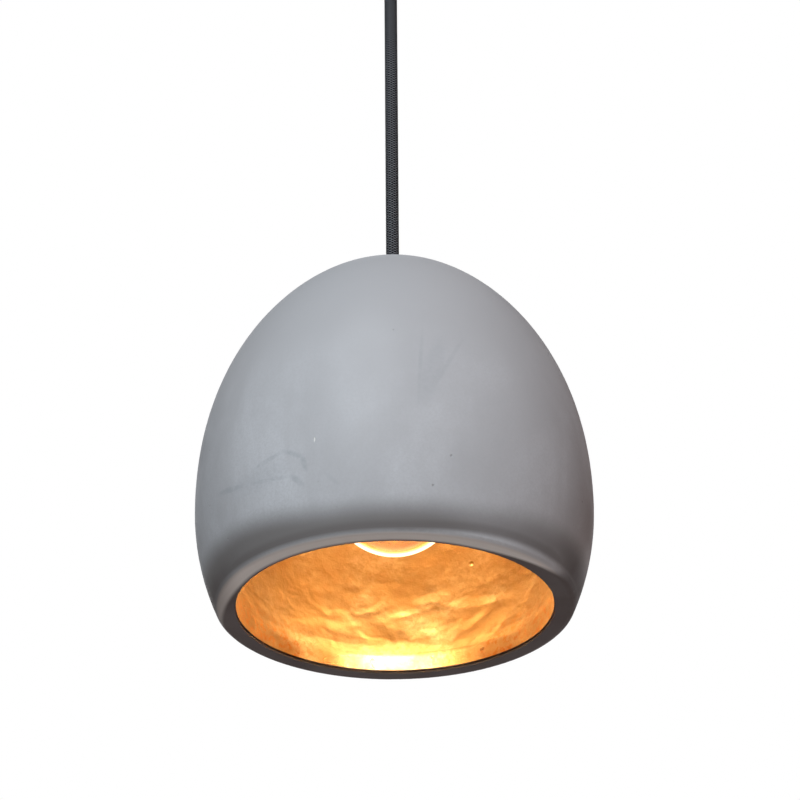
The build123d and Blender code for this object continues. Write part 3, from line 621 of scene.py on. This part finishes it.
def side_shadow(paint, x, level):
    """Painted shadow low on the rim's two sides."""
    return paint.most(
        paint.times(paint.remap(x, *RIGHT_SHADOW), paint.remap(level, *RIGHT_SHADOW_TOP)),
        paint.times(paint.remap(x, *LEFT_SHADOW), paint.remap(level, *LEFT_SHADOW_TOP)),
    )


def scuff_mask(paint):
    """Rubs and fainter smudges, broken up by a fine grain."""
    grain = paint.effect("Mottle", Scale=260.0)["Mask"]
    rubs = paint.most(*(paint.stroke(*mark) for mark in RUB_MARKS))
    smudges = paint.most(*(paint.stroke(*mark) for mark in FAINT_MARKS))
    return paint.most(
        paint.times(paint.remap(grain, *RUB_GRAIN), rubs, RUB_SHARE),
        paint.times(paint.remap(grain, *SMUDGE_GRAIN), smudges, SMUDGE_SHARE),
    )


def coat_and_shadow_mask(paint, x, y, level):
    """The dark coat under the leaf, where it runs out over the rim: further at the back and to the right than
    in front, as painted shadow.
    """
    across = paint.add(y, paint.times(x, COAT_SHADOW_LEAN))
    past_edge = paint.less(paint.off_axis(x, y), paint.remap(across, *COAT_SHADOW_RUN))
    return paint.times(paint.remap(past_edge, *COAT_EDGE), paint.remap(level, *COAT_TOP))


def concrete_finish(colours):
    """Cast concrete: cloudy, fine grained, with a few pores and scuffs; painted shadow where it turns under,
    on its upper part and low at its sides, and painted light on the flat under the rim.
    """
    paint = Paint("concrete", Specular_IOR_Level=0.2)
    x, y, level = paint.axes()
    dark = rgba(colours.concrete_dark)
    cloud = paint.effect("Mottle", Colour=rgba(colours.concrete), Second_Colour=dark, Scale=13.0, Amount=0.8)
    tall = paint.node("ShaderNodeMapping", {"Vector": paint.place, "Scale": STREAK_STRETCH})
    streak = paint.effect(
        "Mottle",
        Vector=tall.outputs["Vector"],
        Colour=cloud["Colour"],
        Second_Colour=dark,
        Scale=44.0,
        Amount=0.45,
    )
    # Painted shadow over the dome's upper part
    shoulder_shadow = paint.times(paint.remap(level, *SHOULDER_SHADOW_FOOT), paint.remap(level, *SHOULDER_SHADOW_TOP))
    dulled = paint.blend(shoulder_shadow, streak["Colour"], dark)
    dusty = paint.effect("Mottle", Colour=dulled, Second_Colour=dark, Scale=900.0, Amount=0.4)
    # Painted shadow where the shade turns under above the rim
    toe_shadow, crease_shadow = toe_shadow_masks(paint, x, level)
    toe_shadowed = paint.blend(toe_shadow, dusty["Colour"], rgba(colours.concrete_toe_shadow_and_pores))
    # Painted light on the flat under the rim
    foot_lit = paint.blend(paint.remap(level, *FLAT_FOOT_LIGHT), toe_shadowed, rgba(colours.concrete_foot_light))
    # Painted shadow at the rim's sides and along the foot line, in the rim coat's colour
    rim_shadow = paint.most(side_shadow(paint, x, level), crease_shadow)
    rim_shadowed = paint.blend(rim_shadow, foot_lit, rgba(colours.rim_coat_and_shadow))
    # A paler tone painted over a stretch of the front
    pale = paint.times(paint.stroke(*PALE_BAND), PALE_SHARE)
    paler = paint.blend(pale, rim_shadowed, rgba(colours.concrete_pale))
    scuffed = paint.blend(scuff_mask(paint), paler, rgba(colours.concrete_scuff))
    pores = paint.effect("Specks", Scale=120.0, Size=0.10, Share=0.14)["Mask"]
    pored = paint.blend(paint.times(pores, PORE_SHARE), scuffed, rgba(colours.concrete_toe_shadow_and_pores))
    chip = paint.stroke(*CHIP)
    chipped = paint.blend(chip, pored, rgba(CHIP_WHITE))
    # Dark coat over the rim, spread at the back and to the right as painted shadow
    coated_and_shadowed = paint.blend(coat_and_shadow_mask(paint, x, y, level), chipped, rgba(colours.rim_coat_and_shadow))
    grain = paint.effect("Grain", Scale=1400.0, Swell_Scale=55.0, Swell=0.6)["Height"]
    dents = paint.times(paint.add(pores, chip), DENT_DEPTH)
    paint.wire(Base_Color=coated_and_shadowed, Roughness=paint.remap(cloud["Mask"], *CONCRETE_ROUGHNESS))
    paint.bump(paint.less(grain, dents), CONCRETE_RELIEF, strength=0.5)
    return paint.material


def leaf_relief(paint, level, far, sides, waves):
    """Height of the leaf: the lip's lean, the swell above it, hand-laid waves, grit and fine grain."""
    lip = paint.remap(level, RIM_Z, LIP_Z, paint.remap(far, *LIP_LEAN), 0.0, eased=False)
    up = paint.remap(level, *SWELL_BAND, eased=False)
    swell = paint.times(up, paint.less(2.0, up), SWELL_HEIGHT)
    laid = paint.times(
        waves,
        paint.remap(level, *WAVES_FOOT),
        paint.remap(level, *WAVES_TOP),
        paint.remap(sides, *WAVES_AT_SHADOWED_SIDES),
    )
    grit = paint.effect("Specks", Scale=85.0, Size=0.13, Share=0.28)["Mask"]
    grain = paint.effect("Grain", Scale=900.0, Swell_Scale=210.0, Swell=0.55)["Height"]
    return paint.add(lip, swell, laid, paint.times(grit, GRIT_HEIGHT), paint.times(grain, GRAIN_HEIGHT))


def gold_finish(colours):
    """Gold leaf over rough concrete: cloudy, thin in places, gritty, with rusty speckles near the rim and
    painted shadow at its left and right sides.
    """
    paint = Paint("gold_leaf", Metallic=1.0, Anisotropic=0.5)
    around = paint.node("ShaderNodeTangent", direction_type="RADIAL", axis="Z").outputs["Tangent"]
    x, y, level = paint.axes()
    deep = rgba(colours.gold_deep)
    thin = paint.effect("Mottle", Colour=rgba(colours.gold), Second_Colour=deep, Scale=42.0, Amount=1.0)
    brushed = paint.effect("Mottle", Colour=thin["Colour"], Second_Colour=deep, Scale=430.0, Amount=0.8)
    waves = paint.noise(scale=84.0, detail=1.7, roughness=0.45, distortion=0.25)
    speckle = paint.noise(scale=330.0, detail=5.0, roughness=0.75)
    far = paint.remap(y, *FAR_SIDE)
    # Painted shadow darkens the leaf towards its left and right sides
    sides = paint.most(paint.remap(x, *SHADOW_LEFT), paint.remap(x, *SHADOW_RIGHT))
    leaf = paint.blend(sides, brushed["Colour"], rgba(colours.gold_side_shadow))
    rust = paint.times(
        paint.remap(speckle, *RUST_SPECKLE), paint.remap(level, *RUST_TOP), paint.remap(y, *RUST_FAR)
    )
    rusty = paint.blend(rust, leaf, rgba(colours.rust))
    far_lip = paint.times(paint.remap(level, *LIP_ROUGHNESS), far)
    paint.wire(
        Base_Color=paint.blend(paint.remap(level, *LEAF_HEM), rusty, rgba(colours.rim_coat_and_shadow)),
        Roughness=paint.add(paint.remap(waves, *LEAF_ROUGHNESS), far_lip),
        Tangent=around,
    )
    paint.bump(leaf_relief(paint, level, far, sides, waves), LEAF_RELIEF)
    return paint.material


def braid_finish(cord):
    """Dark textile yarn, fibrous and a little glossy, with a painted sheen in a paler tone on the yarn tops
    and dark between the yarns.
    """
    paint = Paint("textile_braid", Specular_IOR_Level=0.0, Coat_Roughness=0.30, Coat_IOR=1.5)
    x, y, _ = paint.axes()
    top = paint.remap(paint.off_axis(x, y), *YARN_TOP_SHEEN)
    fibres = paint.noise(scale=5200.0, detail=3.0, roughness=0.7)
    # Painted sheen: a paler tone on the yarn tops, paler still on some fibres
    sheened_yarn = paint.blend(top, rgba(cord.deep_colour), rgba(cord.colour))
    worn = paint.times(paint.remap(fibres, *FIBRE_SHEEN), top)
    paint.wire(
        Base_Color=paint.blend(worn, sheened_yarn, rgba(toned(cord.colour, YARN_PALER))),
        Roughness=paint.add(paint.remap(fibres, *FIBRE_ROUGHNESS), paint.remap(top, *DEEP_ROUGHNESS)),
        Coat_Weight=paint.times(top, YARN_COAT),
    )
    paint.bump(fibres, FIBRE_RELIEF, strength=0.5)
    return paint.material


def glass_finish(name, glow):
    """Clear glass that lets lamp light through and glows at its edge, where one looks along the wall."""
    paint = Paint(name, Roughness=0.0, IOR=1.47, Transmission_Weight=1.0, Emission_Strength=glow)
    tint, clouds = WARM_GLASS
    swirl = paint.effect("Mottle", Colour=rgba(tint), Second_Colour=rgba(clouds), Scale=60.0, Amount=0.5)
    paint.bump(paint.effect("Grain", Scale=90.0, Swell_Scale=40.0)["Height"], depth=0.0002, strength=0.1)
    edge = paint.node("ShaderNodeLayerWeight", {"Blend": 0.5}).outputs["Facing"]
    ramp = paint.node("ShaderNodeValToRGB", {"Fac": edge})
    stops = ramp.color_ramp.elements
    stops.new(EDGE_GLOW[1][0])
    for stop, (position, colour) in zip(stops, EDGE_GLOW):
        stop.position = position
        stop.color = rgba(colour)
    paint.wire(Base_Color=swirl["Colour"], Emission_Color=ramp.outputs["Color"])
    lit = paint.node("ShaderNodeLightPath").outputs["Is Shadow Ray"]
    clear = paint.node("ShaderNodeBsdfTransparent").outputs["BSDF"]
    paint.show(paint.mix(lit, paint.shader.outputs["BSDF"], clear))
    return paint.material


def glowing_finish(strength):
    """White-hot tungsten, a little cooler in places."""
    paint = Paint("glowing_wire", Roughness=0.5, Emission_Strength=strength)
    hot, cooler = HOT_WIRE
    heat = paint.effect("Mottle", Colour=rgba(hot), Second_Colour=rgba(cooler), Scale=400.0)["Colour"]
    paint.wire(Base_Color=heat, Emission_Color=heat)
    return paint.material


def finish_nodes(material, *names):
    """Gives CAD nodes their finish."""
    for name in names:
        mesh = frame["nodes"][name].data
        mesh.materials.clear()
        mesh.materials.append(material)


def new_piece(name, made, material, body, slot, *stands_for):
    """An object at the origin from a finished bmesh, riding on its body in place of CAD nodes."""
    mesh = bpy.data.meshes.new(name)
    for face in made.faces:
        face.smooth = True
    made.to_mesh(mesh)
    made.free()
    mesh.materials.append(material)
    piece = bpy.data.objects.new(name, mesh)
    bpy.context.scene.collection.objects.link(piece)
    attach(piece, body)
    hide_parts(*stands_for)
    return piece


def cord_path():
    """Points along the free cord, from the grip's mouth down to the crown, read from a smooth spline."""
    straight = ROUTE_STRAIGHT * 2 * CORD_RADIUS
    levels = (CORD_HIGH.z, CORD_HIGH.z - straight, CORD_LOW.z + straight, CORD_LOW.z)
    route = bpy.data.curves.new("cord_route", "CURVE")
    route.dimensions = "3D"
    spline = route.splines.new("NURBS")
    spline.points.add(len(levels) - 1)
    for point, level in zip(spline.points, levels):
        point.co = (0, 0, level, 1.0)
    spline.order_u = 3
    spline.use_endpoint_u = True
    guide = bpy.data.objects.new("cord_route", route)
    line = bpy.data.meshes.new_from_object(guide)
    bpy.data.objects.remove(guide)
    return [vert.co.copy() for vert in line.vertices]


def wind_yarns(made, low, repeat, way, mid, cord):
    """One repeat of the yarns that wind one way, each over one and under one of the others."""
    before = set(made.verts)
    edges = []
    for yarn in range(cord.yarns):
        points = [
            made.verts.new(
                Matrix.Rotation(tau * (yarn + across) / cord.yarns, 3, "Z")
                @ Vector((mid + lift * cord.yarn_crown, 0, low))
            )
            for across, lift in YARN_SECTION
        ]
        edges += [made.edges.new(pair) for pair in zip(points, points[1:])]
    bmesh.ops.spin(
        made,
        geom=edges,
        cent=(0, 0, 0),
        axis=(0, 0, 1),
        dvec=(0, 0, repeat / REPEAT_STEPS),
        angle=way * tau / cord.yarns,
        steps=REPEAT_STEPS,
        use_merge=False,
    )
    for vert in set(made.verts) - before:
        rise = way * cord.yarn_rise * cos(tau * (vert.co.z - low) / repeat)
        vert.co.xy *= 1 + rise / vert.co.xy.length


def braided_cord(low, high, cord, ball=False):
    """A round braid between two levels over a plain core, drawn in to a ball if asked."""
    made = bmesh.new()
    repeats = max(1, round((high - low) * cord.yarns / cord.lead))
    repeat = (high - low) / repeats
    mid = CORD_RADIUS - cord.yarn_rise - max(lift for _, lift in YARN_SECTION) * cord.yarn_crown
    for way in (1, -1):
        wind_yarns(made, low, repeat, way, mid, cord)
    first = made.verts[:] + made.edges[:] + made.faces[:]
    for copy in range(1, repeats):
        more = bmesh.ops.duplicate(made, geom=first)["geom"]
        verts = [part for part in more if isinstance(part, bmesh.types.BMVert)]
        bmesh.ops.translate(made, verts=verts, vec=(0, 0, copy * repeat))
    bmesh.ops.remove_doubles(made, verts=made.verts, dist=MERGE_DISTANCE)
    made.normal_update()
    inward = [face for face in made.faces if face.normal.xy.dot(face.calc_center_median().xy) < 0]
    bmesh.ops.reverse_faces(made, faces=inward)
    core_radius = mid - 2 * cord.yarn_rise
    bmesh.ops.create_cone(
        made,
        cap_ends=True,
        segments=CORE_SIDES,
        radius1=core_radius,
        radius2=core_radius,
        depth=high - low,
        matrix=Matrix.Translation((0, 0, (low + high) / 2)),
    )
    if ball:
        half = (high - low) / 2
        for vert in made.verts:
            share = min(BALL_REACH, abs(vert.co.z - low - half) / half)
            vert.co.xy *= sqrt(1 - share * share) * half / CORD_RADIUS
    return made


class PENDANT_OT_cord(bpy.types.Operator):
    """Braid the textile cord from the grip's mouth to the crown, and its held ends"""

    bl_idname = "pendant.cord"
    bl_label = "Cord"

    def execute(self, context):
        cord = context.scene.pendant_cord
        material = braid_finish(cord)
        path = cord_path()
        braid = new_piece(
            "cord_braid",
            braided_cord(CORD_LOW.z, CORD_HIGH.z, cord),
            material,
            "cord",
            "textile_cord",
            "cord_drop",
        )
        for node, body, ball in (
            ("cord_top", "canopy", False),
            ("cord_bend", "cord_bend", True),
            ("cord_tail", "shade", False),
        ):
            low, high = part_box(node)
            made = braided_cord(low.z, high.z, cord, ball)
            new_piece(f"{node}_braid", made, material, body, "textile_cord", node)
        return {"FINISHED"}


class PENDANT_OT_shade(bpy.types.Operator):
    """Finish the concrete shade and its gold leaf"""

    bl_idname = "pendant.shade"
    bl_label = "Shade"

    def execute(self, context):
        colours = context.scene.pendant_finish
        finish_nodes(concrete_finish(colours), "shade")
        finish_nodes(gold_finish(colours), "gold_lining")
        return {"FINISHED"}


class PENDANT_OT_fittings(bpy.types.Operator):
    """Finish the canopy, the wiring, and the nylon, steel and brass pieces above and inside the shade"""

    bl_idname = "pendant.fittings"
    bl_label = "Fittings"

    def execute(self, context):
        colours = context.scene.pendant_finish
        paint = plain_finish(
            "black_paint",
            colours.canopy,
            toned(colours.canopy, 1.5),
            cloud_scale=120.0,
            grain_scale=1800.0,
            roughness=0.52,
            depth=0.00008,
        )
        finish_nodes(paint, "canopy", "canopy_screws")
        nylon = plain_finish(
            "black_nylon",
            colours.nylon,
            toned(colours.nylon, 1.6),
            cloud_scale=200.0,
            grain_scale=2400.0,
            roughness=0.58,
            depth=0.00006,
        )
        finish_nodes(nylon, "cord_grip", "grip_screw", "cord_stop")
        finish_nodes(
            metal_finish("zinc_steel", colours.steel, roughness=0.34),
            "ceiling_bracket",
            "grip_nut",
            "terminal_screws",
            "block_screw",
            "threaded_tube",
            "seat_washer",
            "lock_nut",
            "neck_screw",
            "stop_screw",
            "post_screws",
        )
        finish_nodes(
            metal_finish("brass", colours.brass, roughness=0.30),
            "terminal_tubes",
            "earth_screw",
            "centre_contact",
            "holder_posts",
            "screw_shell",
        )
        white = plain_finish(
            "white_nylon", *WHITE_NYLON, cloud_scale=160.0, grain_scale=2000.0, roughness=0.42, depth=0.00005
        )
        finish_nodes(white, "terminal_block")
        finish_nodes(sleeve_finish("earth_sleeve", EARTH_GREEN), "earth_lead")
        finish_nodes(sleeve_finish("live_sleeve", LIVE_BROWN), "live_lead", "live_core")
        finish_nodes(sleeve_finish("neutral_sleeve", NEUTRAL_BLUE), "neutral_lead", "neutral_core")
        return {"FINISHED"}


class PENDANT_OT_lampholder(bpy.types.Operator):
    """Finish the lampholder's case and its porcelain inside the shade"""

    bl_idname = "pendant.lampholder"
    bl_label = "Lampholder"

    def execute(self, context):
        colours = context.scene.pendant_finish
        phenolic = plain_finish(
            "phenolic",
            colours.phenolic,
            toned(colours.phenolic, 1.7),
            cloud_scale=140.0,
            grain_scale=1500.0,
            roughness=0.30,
            depth=0.00005,
        )
        finish_nodes(phenolic, "holder_cap", "holder_skirt")
        porcelain = plain_finish(
            "porcelain", *PORCELAIN, cloud_scale=120.0, grain_scale=900.0, roughness=0.16, depth=0.00004
        )
        finish_nodes(porcelain, "contact_block")
        return {"FINISHED"}


class PENDANT_OT_bulb(bpy.types.Operator):
    """Finish the lit bulb and put its lamp inside"""

    bl_idname = "pendant.bulb"
    bl_label = "Bulb"

    def execute(self, context):
        stage = context.scene.pendant_stage
        finish_nodes(glass_finish("bulb_glass", GLASS_GLOW), "bulb_glass")
        finish_nodes(glass_finish("stem_glass", STEM_GLOW), "glass_stem")
        finish_nodes(metal_finish("bulb_brass", BULB_BRASS, roughness=0.28), "bulb_cap", "bulb_tip")
        insulator = plain_finish(
            "black_glass", *BLACK_GLASS, cloud_scale=200.0, grain_scale=900.0, roughness=0.12, depth=0.00004
        )
        finish_nodes(insulator, "bulb_insulator")
        nickel = metal_finish("nickel_wire", NICKEL, roughness=0.30)
        finish_nodes(nickel, "filament_leads", "filament_hooks")
        finish_nodes(glowing_finish(WIRE_GLOW), "filament")
        light = bpy.data.lights.new("bulb_light", "POINT")
        light.energy = stage.bulb_power
        light.color = BULB_TINT
        light.shadow_soft_size = BULB_LAMP_RADIUS
        # With multiple importance sampling, the highlight that the gold lip mirrors is lost
        light.cycles.use_multiple_importance_sampling = False
        lamp = bpy.data.objects.new("bulb_light", light)
        context.scene.collection.objects.link(lamp)
        lamp.location = GLOBE_CENTRE
        lamp.visible_camera = False
        lamp.visible_transmission = False
        lamp.parent = frame["bodies"]["bulb"]
        return {"FINISHED"}


def soft_lamp(name, place, aim, size, power, tint, mirrored):
    """A square soft lamp that faces a point, and that glossy faces and glass may show."""
    light = bpy.data.lights.new(name, "AREA")
    light.size = size
    light.energy = power
    light.color = tint
    lamp = bpy.data.objects.new(name, light)
    bpy.context.scene.collection.objects.link(lamp)
    lamp.location = place
    lamp.rotation_mode = "QUATERNION"
    lamp.rotation_quaternion = (aim - Vector(place)).to_track_quat("-Z", "Y")
    lamp.visible_camera = False
    lamp.visible_glossy = mirrored
    lamp.visible_transmission = mirrored


def seen_rays(tree):
    """One where a ray comes straight from the camera, or through a reflection or glass."""
    path = tree.nodes.new("ShaderNodeLightPath").outputs
    seen = path["Is Camera Ray"]
    for kind in ("Is Glossy Ray", "Is Transmission Ray"):
        either = add_node(tree, "ShaderNodeMath", {0: seen, 1: path[kind]}, operation="MAXIMUM")
        seen = either.outputs["Value"]
    return seen


class PENDANT_OT_stage(bpy.types.Operator):
    """Set the camera, the lamps, the white surround and the floor"""

    bl_idname = "pendant.stage"
    bl_label = "Stage"

    def execute(self, context):
        stage = context.scene.pendant_stage
        context.scene.view_settings.view_transform = "Standard"
        aim = Vector((0, 0, RIM_Z + AIM_ABOVE_RIM))
        self.set_camera(context, stage, aim)
        self.set_world(context, stage)
        self.set_floor(context, stage)
        for name, place, size, tint, mirrored in SOFT_LAMPS:
            power = getattr(stage, f"{name}_power")
            soft_lamp(f"{name}_lamp", place, aim, size, power, tint, mirrored)
        return {"FINISHED"}

    def set_camera(self, context, stage, aim):
        """Camera below the light, turned until the aim point stands at its pixel."""
        data = bpy.data.cameras.new("camera")
        data.sensor_width = SENSOR_WIDTH
        data.lens = stage.focal_pixels / PICTURE_SIZE * SENSOR_WIDTH
        data.clip_end = VIEW_REACH
        camera = bpy.data.objects.new("camera", data)
        context.scene.collection.objects.link(camera)
        back = Vector((0, -cos(stage.view_drop), -sin(stage.view_drop)))
        camera.location = aim + back * stage.view_distance
        off = AIM_PIXEL - Vector((PICTURE_SIZE / 2, PICTURE_SIZE / 2))
        camera.rotation_mode = "QUATERNION"
        camera.rotation_quaternion = (
            (-back).to_track_quat("-Z", "Y")
            @ Quaternion((0, 0, 1), -stage.view_roll)
            @ Quaternion((0, 1, 0), atan2(off.x, stage.focal_pixels))
            @ Quaternion((1, 0, 0), atan2(off.y, stage.focal_pixels))
        )
        context.scene.camera = camera

    def set_world(self, context, stage):
        """Soft light from above, and plain white wherever the surround is seen."""
        world = bpy.data.worlds.new("surround")
        world.use_nodes = True
        tree = world.node_tree
        tree.nodes.clear()
        way = add_node(tree, "ShaderNodeTexCoord").outputs["Generated"]
        height = add_node(tree, "ShaderNodeSeparateXYZ", {0: way}).outputs["Z"]
        above = add_node(
            tree,
            "ShaderNodeMapRange",
            {"Value": height, "From Min": 0.0, "From Max": AMBIENT_TOP, "To Max": stage.ambient},
        )
        soft = add_node(
            tree,
            "ShaderNodeBackground",
            {"Color": rgba(AMBIENT_TINT), "Strength": above.outputs["Result"]},
        )
        white = add_node(tree, "ShaderNodeBackground", {"Color": rgba(WHITE), "Strength": 1.0})
        mix = add_node(
            tree,
            "ShaderNodeMixShader",
            {0: seen_rays(tree), 1: soft.outputs["Background"], 2: white.outputs["Background"]},
        )
        add_node(tree, "ShaderNodeOutputWorld", {"Surface": mix.outputs["Shader"]})
        context.scene.world = world

    def set_floor(self, context, stage):
        """Pale floor that keeps the light's shadow, goes over into white far off, and is clear from below."""
        made = bmesh.new()
        level = Matrix.Translation((0, 0, -stage.floor_drop))
        bmesh.ops.create_grid(made, x_segments=1, y_segments=1, size=FLOOR_REACH, matrix=level)
        mesh = bpy.data.meshes.new("floor")
        made.to_mesh(mesh)
        made.free()
        floor = bpy.data.objects.new("floor", mesh)
        context.scene.collection.objects.link(floor)
        paint = Paint("pale_floor", Roughness=0.9, Specular_IOR_Level=0.1)
        pale, clouds = FLOOR_TONES
        tone = paint.effect("Mottle", Colour=rgba(pale), Second_Colour=rgba(clouds), Scale=0.6)
        rays = seen_rays(paint.tree)
        paint.wire(Base_Color=paint.blend(rays, rgba(FLOOR_BOUNCE), tone["Colour"]))
        white = paint.node("ShaderNodeEmission", {"Color": rgba(WHITE), "Strength": 1.0})
        seen = paint.times(rays, paint.remap(paint.length(paint.place), *FLOOR_FADE))
        above = paint.mix(seen, paint.shader.outputs["BSDF"], white.outputs["Emission"])
        beneath = paint.node("ShaderNodeNewGeometry").outputs["Backfacing"]
        clear = paint.node("ShaderNodeBsdfTransparent").outputs["BSDF"]
        paint.show(paint.mix(beneath, above, clear))
        mesh.materials.append(paint.material)


class PENDANT_PT_sidebar(bpy.types.Panel):
    """Steps that dress the light, in order"""

    bl_idname = "PENDANT_PT_sidebar"
    bl_label = "Pendant Ceiling Light"
    bl_space_type = "VIEW_3D"
    bl_region_type = "UI"
    bl_category = "Pendant"

    def draw(self, context):
        layout = self.layout
        for group in GROUPS:
            settings = getattr(context.scene, group)
            column = layout.column()
            for label in settings.__annotations__:
                column.prop(settings, label)
        for step in STEPS:
            layout.operator(step.bl_idname)


GROUPS = {"pendant_cord": PendantCord, "pendant_finish": PendantFinish, "pendant_stage": PendantStage}
STEPS = (
    PENDANT_OT_stage,
    PENDANT_OT_cord,
    PENDANT_OT_shade,
    PENDANT_OT_fittings,
    PENDANT_OT_lampholder,
    PENDANT_OT_bulb,
)


def register():
    """Registers the classes and puts their settings on the scene."""
    for kind in (*GROUPS.values(), *STEPS, PENDANT_PT_sidebar):
        bpy.utils.register_class(kind)
    for name, kind in GROUPS.items():
        setattr(bpy.types.Scene, name, PointerProperty(type=kind))


def unregister():
    """Takes the settings and the classes away again."""
    for name in GROUPS:
        delattr(bpy.types.Scene, name)
    for kind in reversed((*GROUPS.values(), *STEPS, PENDANT_PT_sidebar)):
        bpy.utils.unregister_class(kind)


def main():
    """Dresses the light."""
    register()
    for make_effect in (make_mottle, make_grain, make_specks):
        make_effect()
    bpy.ops.pendant.stage()
    bpy.ops.pendant.cord()
    bpy.ops.pendant.shade()
    bpy.ops.pendant.fittings()
    bpy.ops.pendant.lampholder()
    bpy.ops.pendant.bulb()


if __name__ == "__main__":
    main()
